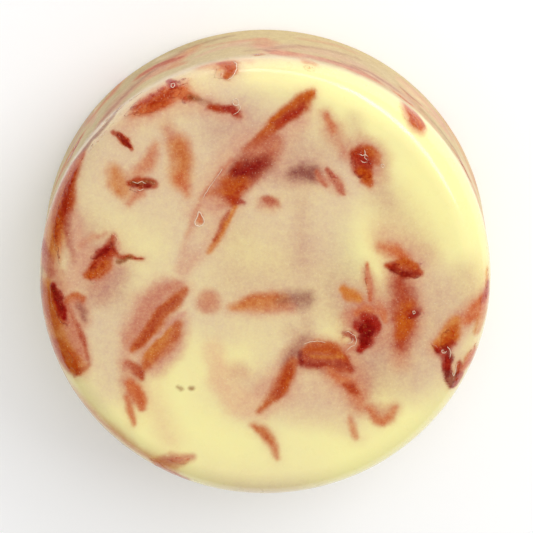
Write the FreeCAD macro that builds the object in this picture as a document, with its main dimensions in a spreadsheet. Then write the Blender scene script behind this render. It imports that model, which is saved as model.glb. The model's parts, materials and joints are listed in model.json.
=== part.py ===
# Round cast shaving soap puck: a pale soap base poured around dark, see-through soap shavings.
# Frame: millimetres, +Z up, origin at the centre of the underside.
# The puck lies on its wider pour side, with the moulded face up.
import FreeCAD, Part
import math
import os
import Sketcher

# Driving sizes of the cast puck.
PUCK_SIZES = {
    "BaseRadius": 38.0,
    "TopRadius": 36.4,
    "Height": 26.5,
    "RimFillet": 5.0,
    "FootFillet": 1.2,
}

# Every shaving lies in a seat: a point of the puck's skin with the outward direction as its own +Z.
# The two seat numbers are x and y on the flat faces, azimuth and lean on the rounded rim, and
# azimuth and height on the wall.
SEAT_EXPRESSIONS = {
    "face": "placement(vector({first}; {second}; {Height}); rotation(0; 0; 0))",
    "underside": "placement(vector({first}; {second}; 0); rotation(vector(1; 0; 0); 180))",
    "rim": "placement(vector(0; 0; 0); rotation({first}; 0; 0))"
           " * placement(vector({RimRadius} + {RimFillet} * cos({second}); 0;"
           " {Height} - {RimFillet} + {RimFillet} * sin({second}));"
           " rotation(vector(0; 1; 0); 90 - {second}) * rotation(vector(0; 0; 1); 90))",
    "wall": "placement(vector(0; 0; 0); rotation({first}; 0; 0))"
            " * placement(vector({BaseRadius} - {Slope} * {second}; 0; {second});"
            " rotation(vector(0; 1; 0); 90 deg - atan({Slope})) * rotation(vector(0; 0; 1); 90))",
}
TILT_EXPRESSION = " * placement(vector(0; 0; -{cover}); rotation({heading}; {pitch}; {roll}))"
SLOPE = "(Sizes.BaseRadius - Sizes.TopRadius) / Sizes.Height"
RIM_RADIUS = (
    f"(Sizes.BaseRadius - {SLOPE} * (Sizes.Height - Sizes.RimFillet * (1 - sin(atan({SLOPE}))))"
    f" - Sizes.RimFillet * cos(atan({SLOPE})))"
)

# Corners of a broken chip, as fractions of its length and width, in order round it.
CHIP_CORNERS = [(-0.5, -0.12), (-0.28, 0.4), (0.12, 0.5), (0.5, 0.16), (0.3, -0.42), (-0.16, -0.5)]
CHIP_TAPER = -14.0

VOLUME_TOLERANCE = 0.002


def leaf(length, rise, sag):
    """Pointed at both ends; a negative sag makes it a crescent."""
    return {"family": "leaf", "length": length, "rise": rise, "sag": sag}


def band(length, start, finish, bow):
    """A strip with a square end of width start and one of width finish, and bowed sides."""
    return {"family": "band", "length": length, "start": start, "finish": finish, "bow": bow}


def chip(length, width):
    """An irregular six-sided crumb that narrows downwards."""
    return {"family": "chip", "length": length, "width": width}


def ring(radius, width, sweep):
    """A strip on edge, wound into an open ring."""
    return {"family": "ring", "radius": radius, "width": width, "sweep": sweep}


def hook(leg, turn, back, width):
    """A strip on edge that runs down, turns back on itself and comes up again."""
    return {"family": "hook", "leg": leg, "turn": turn, "back": back, "width": width}


def shaving(seat, first, second, shape, thick, cover, heading=0, pitch=0, roll=0, curl=0):
    """One piece: cover is the soap over its top, curl the radius it is bent to (0 is flat)."""
    values = {"first": first, "second": second, "cover": cover, "heading": heading}
    values.update({"pitch": pitch, "roll": roll, "thick": thick})
    if curl:
        values["curl"] = curl
    values.update({key: value for key, value in shape.items() if key != "family"})
    return {"seat": seat, "family": shape["family"], "values": values}


# Each node and its shavings. A node with several holds shavings that lie together.
SHAVINGS = {
    "long_diagonal_roll": [
        shaving("face", -1.6, 21.2, leaf(27.5, 2.1, 3.5), 1.0, 0.45, heading=49, pitch=1, curl=4.2),
    ],
    "diagonal_roll_tail": [
        shaving("face", -8.8, 9.2, leaf(11.0, 2.1, 1.6), 0.8, 1.9, heading=58),
        shaving("face", -6.9, 9.2, leaf(8.6, 0.7, 0.5), 0.5, 0.35, heading=56),
    ],
    "upper_left_rim_flake": [
        shaving("rim", 118.6, 42.0, leaf(12.4, 2.2, 1.8), 1.0, 0.15, heading=1, curl=6.0),
    ],
    "upper_left_crumbs": [
        shaving("face", -12.1, 30.6, chip(2.1, 1.6), 0.9, 0.15, heading=15),
        shaving("face", -9.9, 30.2, leaf(2.0, 0.3, 0.3), 0.4, 1.0, heading=-24),
    ],
    "ringed_crumb": [
        shaving("face", -6.3, 29.3, leaf(5.6, 1.0, 1.1), 0.9, 0.25, heading=-6, pitch=-7),
    ],
    "top_rim_flakes": [
        shaving("rim", 100.0, 40.0, chip(4.4, 2.9), 0.8, -0.1, heading=12),
        shaving("rim", 79.0, 31.0, chip(2.0, 1.2), 0.7, -0.1, heading=-20),
    ],
    "crisp_left_sliver": [
        shaving("face", -22.3, 24.3, leaf(4.0, 0.6, 0.65), 0.9, -0.15, heading=-50),
    ],
    "left_crumb": [
        shaving("face", -19.6, 16.7, chip(4.2, 2.1), 0.9, -0.1, heading=8),
        shaving("face", -23.4, 17.2, band(2.6, 3.0, 2.4, 0.2), 0.9, 0.9, heading=5),
        shaving("face", -18.0, 20.9, leaf(4.6, 0.7, 0.8), 0.8, 0.8, heading=66),
    ],
    "upright_blurred_flake": [
        shaving("face", -13.3, 20.8, leaf(10.5, 1.9, 1.8), 0.9, 0.95, heading=98, pitch=4, curl=6.0),
    ],
    "left_rim_band": [
        shaving("rim", 159.5, 68.0, leaf(16.5, 2.3, -0.6), 1.3, 0.0, heading=191),
    ],
    "left_rim_lines": [
        shaving("rim", 138.5, 36.0, leaf(8.0, 0.5, 0.25), 1.3, -0.4),
        shaving("rim", 128.0, 4.0, leaf(9.0, 0.3, 0.25), 1.1, -0.4),
    ],
    "mauve_left_streak": [
        shaving("face", -28.4, 9.6, leaf(6.5, 0.9, 0.9), 0.7, 2.3, heading=104),
    ],
    "left_cluster": [
        shaving("face", -26.3, 5.8, leaf(3.8, 0.75, 0.6), 0.9, -0.1, heading=28),
        shaving("face", -23.9, 7.3, leaf(3.8, 0.65, 0.75), 0.9, -0.1, heading=103),
        shaving("face", -21.1, 5.3, leaf(4.0, 0.3, 0.35), 0.6, 0.05, heading=-10),
        shaving("face", -26.9, 2.7, leaf(4.4, 1.2, 1.25), 1.0, -0.1, heading=68),
    ],
    "left_cluster_underflake": [
        shaving("face", -24.9, 4.3, leaf(8.6, 2.1, 2.1), 0.9, 1.7, heading=62),
    ],
    "lower_left_rim_flake": [
        shaving("rim", 184.8, 73.0, leaf(7.8, 1.4, 1.5), 1.1, -0.1, heading=14),
        shaving("rim", 193.6, 70.0, leaf(3.8, 1.3, 1.2), 0.7, 1.3, heading=10),
    ],
    "lower_left_amber_flakes": [
        shaving("rim", 201.2, 60.0, leaf(5.8, 1.2, 1.2), 0.7, 0.1, heading=4),
        shaving("face", -29.1, -11.9, leaf(4.4, 0.9, 0.9), 0.7, 0.5, heading=-78),
    ],
    "small_left_crumb": [
        shaving("face", -29.8, -2.2, chip(2.6, 2.4), 0.9, 0.2, heading=-20),
    ],
    "large_roll_body": [
        shaving("face", -17.3, -5.9, leaf(17.0, 3.0, 2.8), 1.0, 1.45, heading=69, curl=7.0),
    ],
    "large_roll_inner_line": [
        shaving("face", -17.2, -5.1, leaf(12.8, 0.9, 0.75), 0.6, 0.3, heading=49),
    ],
    "large_roll_lobe": [
        shaving("face", -16.3, -9.4, leaf(9.2, 1.7, 1.5), 0.6, 0.4, heading=59),
    ],
    "twisted_flake": [
        shaving("face", -22.2, -13.1, leaf(3.8, 0.8, 0.8), 0.8, 0.5, heading=-32),
        shaving("face", -20.7, -17.1, leaf(4.6, 1.0, 1.0), 0.8, 0.8, heading=-70),
        shaving("face", -21.8, -21.5, leaf(3.4, 0.35, 0.35), 0.6, 0.5, heading=-70),
    ],
    "round_blurred_flake": [
        shaving("face", -8.5, -2.4, chip(4.0, 3.8), 0.8, 1.35, heading=10),
    ],
    "middle_band": [
        shaving("face", 0.8, -2.4, leaf(12.0, 1.3, 1.3), 0.9, 1.1, heading=5, pitch=7),
    ],
    "small_centre_crumb": [
        shaving("face", 0.8, 14.5, chip(2.0, 1.3), 0.7, 0.3, heading=25),
    ],
    "mauve_band": [
        shaving("face", 5.5, 18.7, leaf(6.8, 0.9, 0.9), 0.9, 1.7, heading=4, pitch=-10),
        shaving("face", 9.3, 18.4, leaf(2.4, 0.3, 0.3), 0.5, 0.5, heading=76),
    ],
    "right_thin_sliver": [
        shaving("face", 11.2, 17.7, leaf(4.4, 0.5, 0.4), 0.7, 0.05, heading=-57),
    ],
    "right_crisp_chunk": [
        shaving("face", 15.2, 20.2, leaf(5.9, 1.5, 1.7), 1.4, -0.15, heading=-66),
    ],
    "right_chunk_underflake": [
        shaving("face", 17.3, 21.4, leaf(5.4, 1.3, 1.2), 0.7, 1.6, heading=70),
    ],
    "right_rim_amber_flake": [
        shaving("rim", 50.7, 35.0, leaf(4.8, 0.9, 0.95), 0.8, 0.1, heading=-15),
    ],
    "right_wall_streak": [
        shaving("wall", 53.2, 18.4, leaf(4.4, 0.45, 0.35), 0.9, -0.1, heading=-4),
    ],
    "right_wedge_chunk": [
        shaving("face", 22.3, 3.2, band(5.4, 0.5, 3.0, 0.35), 1.2, -0.15, heading=-6),
        shaving("face", 20.8, 6.4, leaf(4.9, 0.7, 0.6), 0.7, 0.85, heading=-26),
    ],
    "upright_sliver": [
        shaving("face", 16.5, 1.3, leaf(5.9, 0.45, -0.12), 0.7, -0.1, heading=97),
    ],
    "small_right_crumb": [
        shaving("face", 13.5, -1.2, chip(2.5, 1.6), 0.8, 0.4, heading=-35),
    ],
    "dark_red_chunk": [
        shaving("face", 16.3, -7.4, leaf(5.6, 1.25, 1.25), 1.3, -0.15, heading=74),
    ],
    "dark_red_curl": [
        shaving("face", 13.4, -8.7, ring(0.95, 0.45, 290), 0.9, -0.1, heading=20),
    ],
    "dark_red_underflake": [
        shaving("face", 17.9, -4.5, leaf(5.8, 1.2, 1.1), 0.8, 1.5, heading=-8),
    ],
    "upright_band": [
        shaving("face", 22.2, 0.0, leaf(6.6, 1.2, 1.2), 0.8, 2.2, heading=92),
        shaving("face", 22.6, -6.0, leaf(8.0, 1.6, 1.4), 0.9, 0.75, heading=82),
    ],
    "upright_band_corner": [
        shaving("face", 25.1, -4.2, chip(2.2, 1.3), 0.7, -0.1, heading=52),
    ],
    "right_hooked_shaving": [
        shaving("face", 29.5, -8.5, leaf(4.5, 1.1, 1.1), 1.1, -0.1, heading=78),
        shaving("face", 27.6, -10.1, leaf(2.8, 0.35, 0.3), 0.7, -0.1, heading=-50),
        shaving("face", 29.5, -11.0, hook(4.2, 0.85, 2.2, 0.8), 2.2, -0.1, heading=2),
    ],
    "right_rim_flakes": [
        shaving("rim", 352.6, 68.0, leaf(3.6, 0.85, 0.8), 0.8, 0.5, heading=20),
        shaving("rim", 0.5, 32.0, leaf(6.4, 0.6, 0.4), 1.0, -0.1),
        shaving("rim", 341.6, 42.0, leaf(3.4, 0.55, 0.6), 0.8, 0.1, heading=-14),
    ],
    "crescent_flake": [
        shaving("face", 10.3, -12.3, leaf(9.0, 2.5, 1.9), 0.9, 0.45, heading=-13, curl=8.0),
    ],
    "lower_diagonal_band": [
        shaving("face", 2.4, -14.9, leaf(12.2, 0.3, 1.9), 0.9, 0.6, heading=60, pitch=3),
    ],
    "faint_arc_flake": [
        shaving("face", -4.4, -18.4, leaf(13.5, 2.7, 2.4), 0.8, 2.5, heading=-62),
    ],
    "lower_flake": [
        shaving("face", 0.1, -25.7, leaf(6.4, 0.9, 0.85), 0.8, 0.75, heading=-52, pitch=6),
    ],
    "reddish_blurred_flake": [
        shaving("face", 13.7, -17.3, leaf(5.2, 1.4, 1.3), 0.9, 1.1, heading=-42),
    ],
    "lower_right_crumbs": [
        shaving("face", 19.2, -20.3, leaf(5.0, 2.4, -0.4), 0.9, 0.45, heading=178),
        shaving("face", 14.4, -23.7, leaf(3.6, 0.5, 0.45), 0.7, 0.35, heading=-70),
    ],
    "bottom_left_rim_flake": [
        shaving("rim", 242.4, 64.0, band(6.8, 2.6, 0.5, 0.25), 1.0, 0.2, heading=42),
    ],
    "faint_mauve_streaks": [
        shaving("face", 11.2, 25.4, leaf(7.2, 0.8, 0.8), 0.8, 2.6, heading=98),
        shaving("face", 5.4, 6.4, leaf(9.4, 1.2, 1.2), 0.8, 3.0, heading=90),
    ],
    "far_wall_band": [
        shaving("wall", 73.0, 18.2, leaf(19.0, 1.6, 1.3), 0.9, 1.7, heading=2),
    ],
    "far_wall_flecks": [
        shaving("wall", 92.0, 20.0, chip(1.6, 1.1), 0.7, -0.1),
        shaving("wall", 30.0, 17.5, leaf(7.5, 0.35, 0.25), 1.0, -0.3, heading=-5),
    ],
    "left_wall_flake": [
        shaving("wall", 186.0, 14.0, leaf(9.5, 1.6, 1.5), 0.9, 0.5, heading=64),
    ],
    "near_wall_roll": [
        shaving("wall", 236.0, 11.5, leaf(17.0, 2.2, 1.9), 1.0, 1.2, heading=-14, curl=6.0),
    ],
    "near_wall_crumbs": [
        shaving("wall", 268.0, 18.0, chip(3.2, 2.1), 0.9, -0.1, heading=30),
        shaving("wall", 284.0, 8.0, leaf(6.5, 1.2, 1.1), 0.9, 0.5, heading=-38),
        shaving("wall", 251.0, 4.8, leaf(3.6, 0.6, 0.6), 0.8, 0.0, heading=12),
    ],
    "right_wall_flakes": [
        shaving("wall", 312.0, 15.0, leaf(10.5, 1.7, 1.5), 0.9, 0.7, heading=24),
        shaving("wall", 338.0, 7.0, band(6.0, 2.4, 1.0, 0.3), 0.9, 0.1, heading=-30),
        shaving("wall", 9.0, 12.0, leaf(8.5, 1.3, 1.2), 0.9, 0.6, heading=58),
    ],
    "back_wall_flakes": [
        shaving("wall", 118.0, 9.0, leaf(10.0, 1.8, 1.5), 0.9, 0.7, heading=-20),
        shaving("wall", 148.0, 13.0, leaf(6.2, 0.9, 0.9), 0.9, 0.1, heading=40),
    ],
    "underside_roll": [
        shaving("underside", -8.0, 10.0, leaf(22.0, 2.9, 2.2), 1.0, 0.7, heading=28, curl=5.0),
    ],
    "underside_flakes": [
        shaving("underside", 14.0, 15.0, leaf(10.0, 2.1, 1.9), 0.9, 0.9, heading=-48),
        shaving("underside", 17.0, -10.0, band(8.5, 3.0, 1.4, 0.4), 0.9, 0.35, heading=74),
        shaving("underside", -20.0, -12.0, leaf(12.5, 1.7, 1.7), 0.9, 1.3, heading=-15),
    ],
    "underside_crumbs": [
        shaving("underside", 2.0, -5.0, chip(3.2, 2.4), 0.9, 0.2, heading=40),
        shaving("underside", -3.0, -24.0, chip(2.6, 1.8), 0.8, 0.25, heading=-25),
        shaving("underside", -26.0, 8.0, leaf(5.2, 0.9, 0.8), 0.8, 0.3, heading=80),
    ],
}


def column_name(index):
    """Spreadsheet column letter for a small column index."""
    return chr(ord("A") + index)


def shaving_name(node, index):
    """Name of one shaving, in words joined without spaces, used for objects and cells."""
    words = "".join(word.capitalize() for word in node.split("_"))
    return f"{words}{index + 1:02d}x"


def fill_sheet(doc):
    """Put every driving size in its own aliased cell."""
    sheet = doc.addObject("Spreadsheet::Sheet", "Sizes")
    for row, (alias, value) in enumerate(PUCK_SIZES.items(), start=1):
        sheet.set(f"A{row}", alias)
        sheet.set(f"B{row}", str(value))
        sheet.setAlias(f"B{row}", alias)
    row = len(PUCK_SIZES) + 2
    for node, pieces in SHAVINGS.items():
        for index, piece in enumerate(pieces):
            name = shaving_name(node, index)
            sheet.set(f"A{row}", name)
            for column, (key, value) in enumerate(piece["values"].items(), start=1):
                cell = f"{column_name(column)}{row}"
                sheet.set(cell, str(value))
                sheet.setAlias(cell, f"{name}_{key}")
            row += 1
    doc.recompute()
    return sheet


def cell_names(name, piece):
    """Every size that one shaving's expressions may use, as sheet references."""
    names = {key: f"Sizes.{name}_{key}" for key in piece["values"]}
    names.update({key: f"Sizes.{key}" for key in PUCK_SIZES})
    names["Slope"] = f"({SLOPE})"
    names["RimRadius"] = RIM_RADIUS
    return names


def point(x, y):
    return FreeCAD.Vector(x, y, 0)


def arc_through(start, middle, end):
    return Part.Arc(point(*start), point(*middle), point(*end))


def new_sketch(body, role, name):
    """A sketch on one of the body's own origin planes."""
    sketch = body.newObject("Sketcher::SketchObject", name)
    plane = next(item for item in body.Origin.OriginFeatures if item.Role == role)
    sketch.AttachmentSupport = [(plane, "")]
    sketch.MapMode = "FlatFace"
    return sketch


def bind(sketch, constraint, label, expression):
    """Add a driving dimension and tie it to the sheet."""
    number = sketch.addConstraint(constraint)
    sketch.renameConstraint(number, label)
    sketch.setExpression(f"Constraints.{label}", expression)


def bind_corner(sketch, edge, end, corner, label, expressions):
    """Hold one corner at x and y from the origin, each tied to the sheet."""
    for axis, value, expression in zip("XY", corner, expressions):
        kind = f"Distance{axis}"
        if value >= 0:
            ends = (-1, 1, edge, end)
        else:
            ends = (edge, end, -1, 1)
            expression = f"-({expression})"
        bind(sketch, Sketcher.Constraint(kind, *ends, abs(value)), f"{label}{axis}", expression)


def arc_radius(half_chord, bow):
    return (half_chord ** 2 + bow ** 2) / (2 * bow)


def draw_leaf(sketch, values, cells):
    """Two arcs that meet in points on the X axis."""
    half = values["length"] / 2
    rise = values["rise"]
    sag = values["sag"]
    upper = sketch.addGeometry(arc_through((half, 0), (0, rise), (-half, 0)), False)
    lower = sketch.addGeometry(arc_through((-half, 0), (0, -sag), (half, 0)), False)
    lower_left, lower_right = (1, 2) if sag > 0 else (2, 1)
    add = sketch.addConstraint
    add(Sketcher.Constraint("Coincident", upper, 2, lower, lower_left))
    add(Sketcher.Constraint("Coincident", upper, 1, lower, lower_right))
    add(Sketcher.Constraint("PointOnObject", upper, 1, -1))
    add(Sketcher.Constraint("PointOnObject", upper, 2, -1))
    half_cell = f"{cells['length']} / 2"
    bind(sketch, Sketcher.Constraint("DistanceX", -1, 1, upper, 1, half), "right", half_cell)
    bind(sketch, Sketcher.Constraint("DistanceX", upper, 2, -1, 1, half), "left", half_cell)
    for edge, bow, key in ((upper, rise, "rise"), (lower, abs(sag), "sag")):
        bow_cell = f"abs({cells[key]})"
        radius_cell = f"(({half_cell}) ^ 2 + {bow_cell} ^ 2) / (2 * {bow_cell})"
        radius = Sketcher.Constraint("Radius", edge, arc_radius(half, bow))
        bind(sketch, radius, f"{key}Radius", radius_cell)


def draw_band(sketch, values, cells):
    """Two straight ends joined by two sides that bow outwards."""
    half = values["length"] / 2
    start = values["start"] / 2
    finish = values["finish"] / 2
    bow = values["bow"]
    middle = (start + finish) / 2 + bow
    add = sketch.addConstraint
    top = sketch.addGeometry(arc_through((half, finish), (0, middle), (-half, start)), False)
    left = sketch.addGeometry(Part.LineSegment(point(-half, start), point(-half, -start)), False)
    low = sketch.addGeometry(arc_through((-half, -start), (0, -middle), (half, -finish)), False)
    right = sketch.addGeometry(Part.LineSegment(point(half, -finish), point(half, finish)), False)
    for first, second in ((top, left), (left, low), (low, right), (right, top)):
        add(Sketcher.Constraint("Coincident", first, 2, second, 1))
    half_cell = f"{cells['length']} / 2"
    start_cell = f"{cells['start']} / 2"
    finish_cell = f"{cells['finish']} / 2"
    corners = (
        (left, 1, (-half, start), "startTop", (f"-{half_cell}", start_cell)),
        (left, 2, (-half, -start), "startLow", (f"-{half_cell}", f"-{start_cell}")),
        (right, 1, (half, -finish), "finishLow", (half_cell, f"-{finish_cell}")),
        (right, 2, (half, finish), "finishTop", (half_cell, finish_cell)),
    )
    for corner in corners:
        bind_corner(sketch, *corner)
    chord_cell = f"((2 * {half_cell}) ^ 2 + ({start_cell} - {finish_cell}) ^ 2) / 4"
    radius_cell = f"({chord_cell} + {cells['bow']} ^ 2) / (2 * {cells['bow']})"
    radius = arc_radius(math.hypot(2 * half, start - finish) / 2, bow)
    for edge, label in ((top, "topRadius"), (low, "lowRadius")):
        bind(sketch, Sketcher.Constraint("Radius", edge, radius), label, radius_cell)


def draw_chip(sketch, values, cells):
    """A closed outline of straight broken edges."""
    corners = [(x * values["length"], y * values["width"]) for x, y in CHIP_CORNERS]
    following = corners[1:] + corners[:1]
    edges = [
        sketch.addGeometry(Part.LineSegment(point(*corner), point(*after)), False)
        for corner, after in zip(corners, following)
    ]
    for edge, after in zip(edges, edges[1:] + edges[:1]):
        sketch.addConstraint(Sketcher.Constraint("Coincident", edge, 2, after, 1))
    for edge, corner, (along, across) in zip(edges, corners, CHIP_CORNERS):
        expressions = (f"{along} * {cells['length']}", f"{across} * {cells['width']}")
        bind_corner(sketch, edge, 1, corner, f"corner{edge}", expressions)


def draw_box(sketch, left, right, low, cells):
    """A rectangle from left to right, hanging from the X axis; each size is (number, expression)."""
    corners = [
        ((left[0], 0), (left[1], "0")),
        ((right[0], 0), (right[1], "0")),
        ((right[0], low[0]), (right[1], low[1])),
        ((left[0], low[0]), (left[1], low[1])),
    ]
    following = corners[1:] + corners[:1]
    edges = [
        sketch.addGeometry(Part.LineSegment(point(*corner[0]), point(*after[0])), False)
        for corner, after in zip(corners, following)
    ]
    for edge, after in zip(edges, edges[1:] + edges[:1]):
        sketch.addConstraint(Sketcher.Constraint("Coincident", edge, 2, after, 1))
    for edge, (corner, expressions) in zip(edges, corners):
        if corner[1] == 0:
            sketch.addConstraint(Sketcher.Constraint("PointOnObject", edge, 1, -1))
            number = abs(corner[0])
            sign = "" if corner[0] >= 0 else "-"
            ends = (-1, 1, edge, 1) if corner[0] >= 0 else (edge, 1, -1, 1)
            constraint = Sketcher.Constraint("DistanceX", *ends, number)
            bind(sketch, constraint, f"corner{edge}", f"{sign}({expressions[0]})")
        else:
            bind_corner(sketch, edge, 1, corner, f"corner{edge}", expressions)


def pad_down(body, sketch, length_cell, taper=0.0):
    """Pad a sketch of the XY plane downwards."""
    pad = body.newObject("PartDesign::Pad", body.Name + "Pad")
    pad.Profile = sketch
    pad.Reversed = True
    pad.TaperAngle = taper
    pad.setExpression("Length", length_cell)
    return pad


def outlined_body(doc, name, piece, cells):
    """A shaving cut from sheet soap: its outline padded to its thickness, or to its bend."""
    draw = {"leaf": draw_leaf, "band": draw_band, "chip": draw_chip}[piece["family"]]
    body = doc.addObject("PartDesign::Body", name + "Outline")
    sketch = new_sketch(body, "XY_Plane", name + "Shape")
    draw(sketch, piece["values"], cells)
    depth = cells["curl"] if "curl" in piece["values"] else cells["thick"]
    taper = CHIP_TAPER if piece["family"] == "chip" else 0.0
    pad_down(body, sketch, depth, taper)
    return body


def bend_body(doc, name, piece, cells):
    """A long tube wall; the part of it inside the outline is the bent shaving."""
    values = piece["values"]
    body = doc.addObject("PartDesign::Body", name + "Bend")
    sketch = new_sketch(body, "YZ_Plane", name + "Section")
    across = (values["rise"] - values["sag"]) / 2
    across_cell = f"({cells['rise']} - {cells['sag']}) / 2"
    centre = FreeCAD.Vector(across, -values["curl"], 0)
    axis = FreeCAD.Vector(0, 0, 1)
    outer_radius = values["curl"]
    inner_radius = values["curl"] - values["thick"]
    outer = sketch.addGeometry(Part.Circle(centre, axis, outer_radius), False)
    inner = sketch.addGeometry(Part.Circle(centre, axis, inner_radius), False)
    sketch.addConstraint(Sketcher.Constraint("Coincident", outer, 3, inner, 3))
    middle = (across, -values["curl"])
    bind_corner(sketch, outer, 3, middle, "centre", (across_cell, f"-{cells['curl']}"))
    bind(sketch, Sketcher.Constraint("Radius", outer, outer_radius), "outside", cells["curl"])
    inside_cell = f"{cells['curl']} - {cells['thick']}"
    bind(sketch, Sketcher.Constraint("Radius", inner, inner_radius), "inside", inside_cell)
    pad = body.newObject("PartDesign::Pad", name + "BendPad")
    pad.Profile = sketch
    pad.SideType = "Symmetric"
    pad.setExpression("Length", f"{cells['length']} * 1.1")
    return body


def ring_body(doc, name, piece, cells):
    """An open ring: a rectangle turned most of the way round."""
    values = piece["values"]
    body = doc.addObject("PartDesign::Body", name + "Ring")
    sketch = new_sketch(body, "XZ_Plane", name + "Section")
    half = values["width"] / 2
    left = (values["radius"] - half, f"{cells['radius']} - {cells['width']} / 2")
    right = (values["radius"] + half, f"{cells['radius']} + {cells['width']} / 2")
    low = (-values["thick"], f"-{cells['thick']}")
    draw_box(sketch, left, right, low, cells)
    turn = body.newObject("PartDesign::Revolution", name + "Turn")
    turn.Profile = sketch
    turn.ReferenceAxis = (sketch, ["V_Axis"])
    turn.setExpression("Angle", cells["sweep"])
    return body


def hook_body(doc, name, piece, cells):
    """A strip on edge swept down, round a half turn and back up."""
    values = piece["values"]
    body = doc.addObject("PartDesign::Body", name + "Hook")
    path = new_sketch(body, "XY_Plane", name + "Path")
    leg = values["leg"]
    turn = values["turn"]
    down = path.addGeometry(Part.LineSegment(point(0, 0), point(0, -leg)), False)
    bottom = (turn, -leg - turn)
    round_end = path.addGeometry(arc_through((0, -leg), bottom, (2 * turn, -leg)), False)
    top = point(2 * turn, values["back"] - leg)
    up = path.addGeometry(Part.LineSegment(point(2 * turn, -leg), top), False)
    add = path.addConstraint
    add(Sketcher.Constraint("Coincident", down, 1, -1, 1))
    add(Sketcher.Constraint("Vertical", down))
    add(Sketcher.Constraint("Tangent", down, 2, round_end, 1))
    add(Sketcher.Constraint("Tangent", round_end, 2, up, 1))
    add(Sketcher.Constraint("Vertical", up))
    bind(path, Sketcher.Constraint("Distance", down, leg), "leg", cells["leg"])
    bind(path, Sketcher.Constraint("Radius", round_end, turn), "turn", cells["turn"])
    bind(path, Sketcher.Constraint("Distance", up, values["back"]), "back", cells["back"])
    section = new_sketch(body, "XZ_Plane", name + "Section")
    half = values["width"] / 2
    left = (-half, f"-{cells['width']} / 2")
    right = (half, f"{cells['width']} / 2")
    low = (-values["thick"], f"-{cells['thick']}")
    draw_box(section, left, right, low, cells)
    pipe = body.newObject("PartDesign::AdditivePipe", name + "Pipe")
    pipe.Profile = section
    pipe.Spine = path
    return body


def make_shaving(doc, name, piece, puck):
    """Build one shaving, put it in its seat and trim it flush with the puck's skin."""
    cells = cell_names(name, piece)
    if piece["family"] == "ring":
        body = ring_body(doc, name, piece, cells)
    elif piece["family"] == "hook":
        body = hook_body(doc, name, piece, cells)
    else:
        body = outlined_body(doc, name, piece, cells)
    if "curl" in piece["values"]:
        bent = doc.addObject("Part::Common", name + "Bent")
        bent.Base = body
        bent.Tool = bend_body(doc, name, piece, cells)
        body = bent
    expression = (SEAT_EXPRESSIONS[piece["seat"]] + TILT_EXPRESSION).format(**cells)
    body.setExpression("Placement", expression)
    trimmed = doc.addObject("Part::Common", name)
    trimmed.Base = body
    trimmed.Tool = puck
    return trimmed


def make_node(doc, node, pieces, puck):
    """One named node: a single shaving, or a group of separate ones."""
    trimmed = [
        make_shaving(doc, shaving_name(node, index), piece, puck)
        for index, piece in enumerate(pieces)
    ]
    if len(trimmed) == 1:
        shape = trimmed[0]
    else:
        shape = doc.addObject("Part::Compound", shaving_name(node, len(pieces)) + "Group")
        shape.Links = trimmed
    shape.Label = node
    return shape, trimmed


def make_puck(doc):
    """The whole cast outline: a drafted disc turned about Z, with both edges rounded."""
    body = doc.addObject("PartDesign::Body", "PuckOutline")
    sketch = new_sketch(body, "XZ_Plane", "PuckProfile")
    base = PUCK_SIZES["BaseRadius"]
    top = PUCK_SIZES["TopRadius"]
    height = PUCK_SIZES["Height"]
    corners = [(0, 0), (base, 0), (top, height), (0, height)]
    following = corners[1:] + corners[:1]
    floor, wall, face, axis = [
        sketch.addGeometry(Part.LineSegment(point(*corner), point(*after)), False)
        for corner, after in zip(corners, following)
    ]
    add = sketch.addConstraint
    for first, second in ((floor, wall), (wall, face), (face, axis), (axis, floor)):
        add(Sketcher.Constraint("Coincident", first, 2, second, 1))
    add(Sketcher.Constraint("Coincident", floor, 1, -1, 1))
    add(Sketcher.Constraint("Horizontal", floor))
    add(Sketcher.Constraint("Horizontal", face))
    add(Sketcher.Constraint("Vertical", axis))
    bind(sketch, Sketcher.Constraint("Distance", floor, base), "base", "Sizes.BaseRadius")
    bind(sketch, Sketcher.Constraint("Distance", face, top), "top", "Sizes.TopRadius")
    bind(sketch, Sketcher.Constraint("Distance", axis, height), "height", "Sizes.Height")
    turn = body.newObject("PartDesign::Revolution", "PuckTurn")
    turn.Profile = sketch
    turn.ReferenceAxis = (sketch, ["V_Axis"])
    turn.Angle = 360
    doc.recompute()
    rim = round_edge(body, turn, "PuckRim", top, height, "Sizes.RimFillet")
    doc.recompute()
    round_edge(body, rim, "PuckFoot", base, 0, "Sizes.FootFillet")
    doc.recompute()
    return body


def round_edge(body, feature, name, radius, level, cell):
    """Fillet the circular edge of the given radius at the given height."""
    edges = [
        f"Edge{index}"
        for index, edge in enumerate(feature.Shape.Edges, start=1)
        if isinstance(edge.Curve, Part.Circle)
        and abs(edge.Curve.Radius - radius) < 0.01
        and abs(edge.Curve.Center.z - level) < 0.01
    ]
    fillet = body.newObject("PartDesign::Fillet", name)
    fillet.Base = (feature, edges)
    fillet.setExpression("Radius", cell)
    return fillet


def make_base(doc, puck, trimmed):
    """The pale soap: the whole outline less every shaving that it holds."""
    held = doc.addObject("Part::Compound", "HeldShavings")
    held.Links = trimmed
    base = doc.addObject("Part::Cut", "SoapBase")
    base.Base = puck
    base.Tool = held
    base.Label = "soap_base"
    return base


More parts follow.
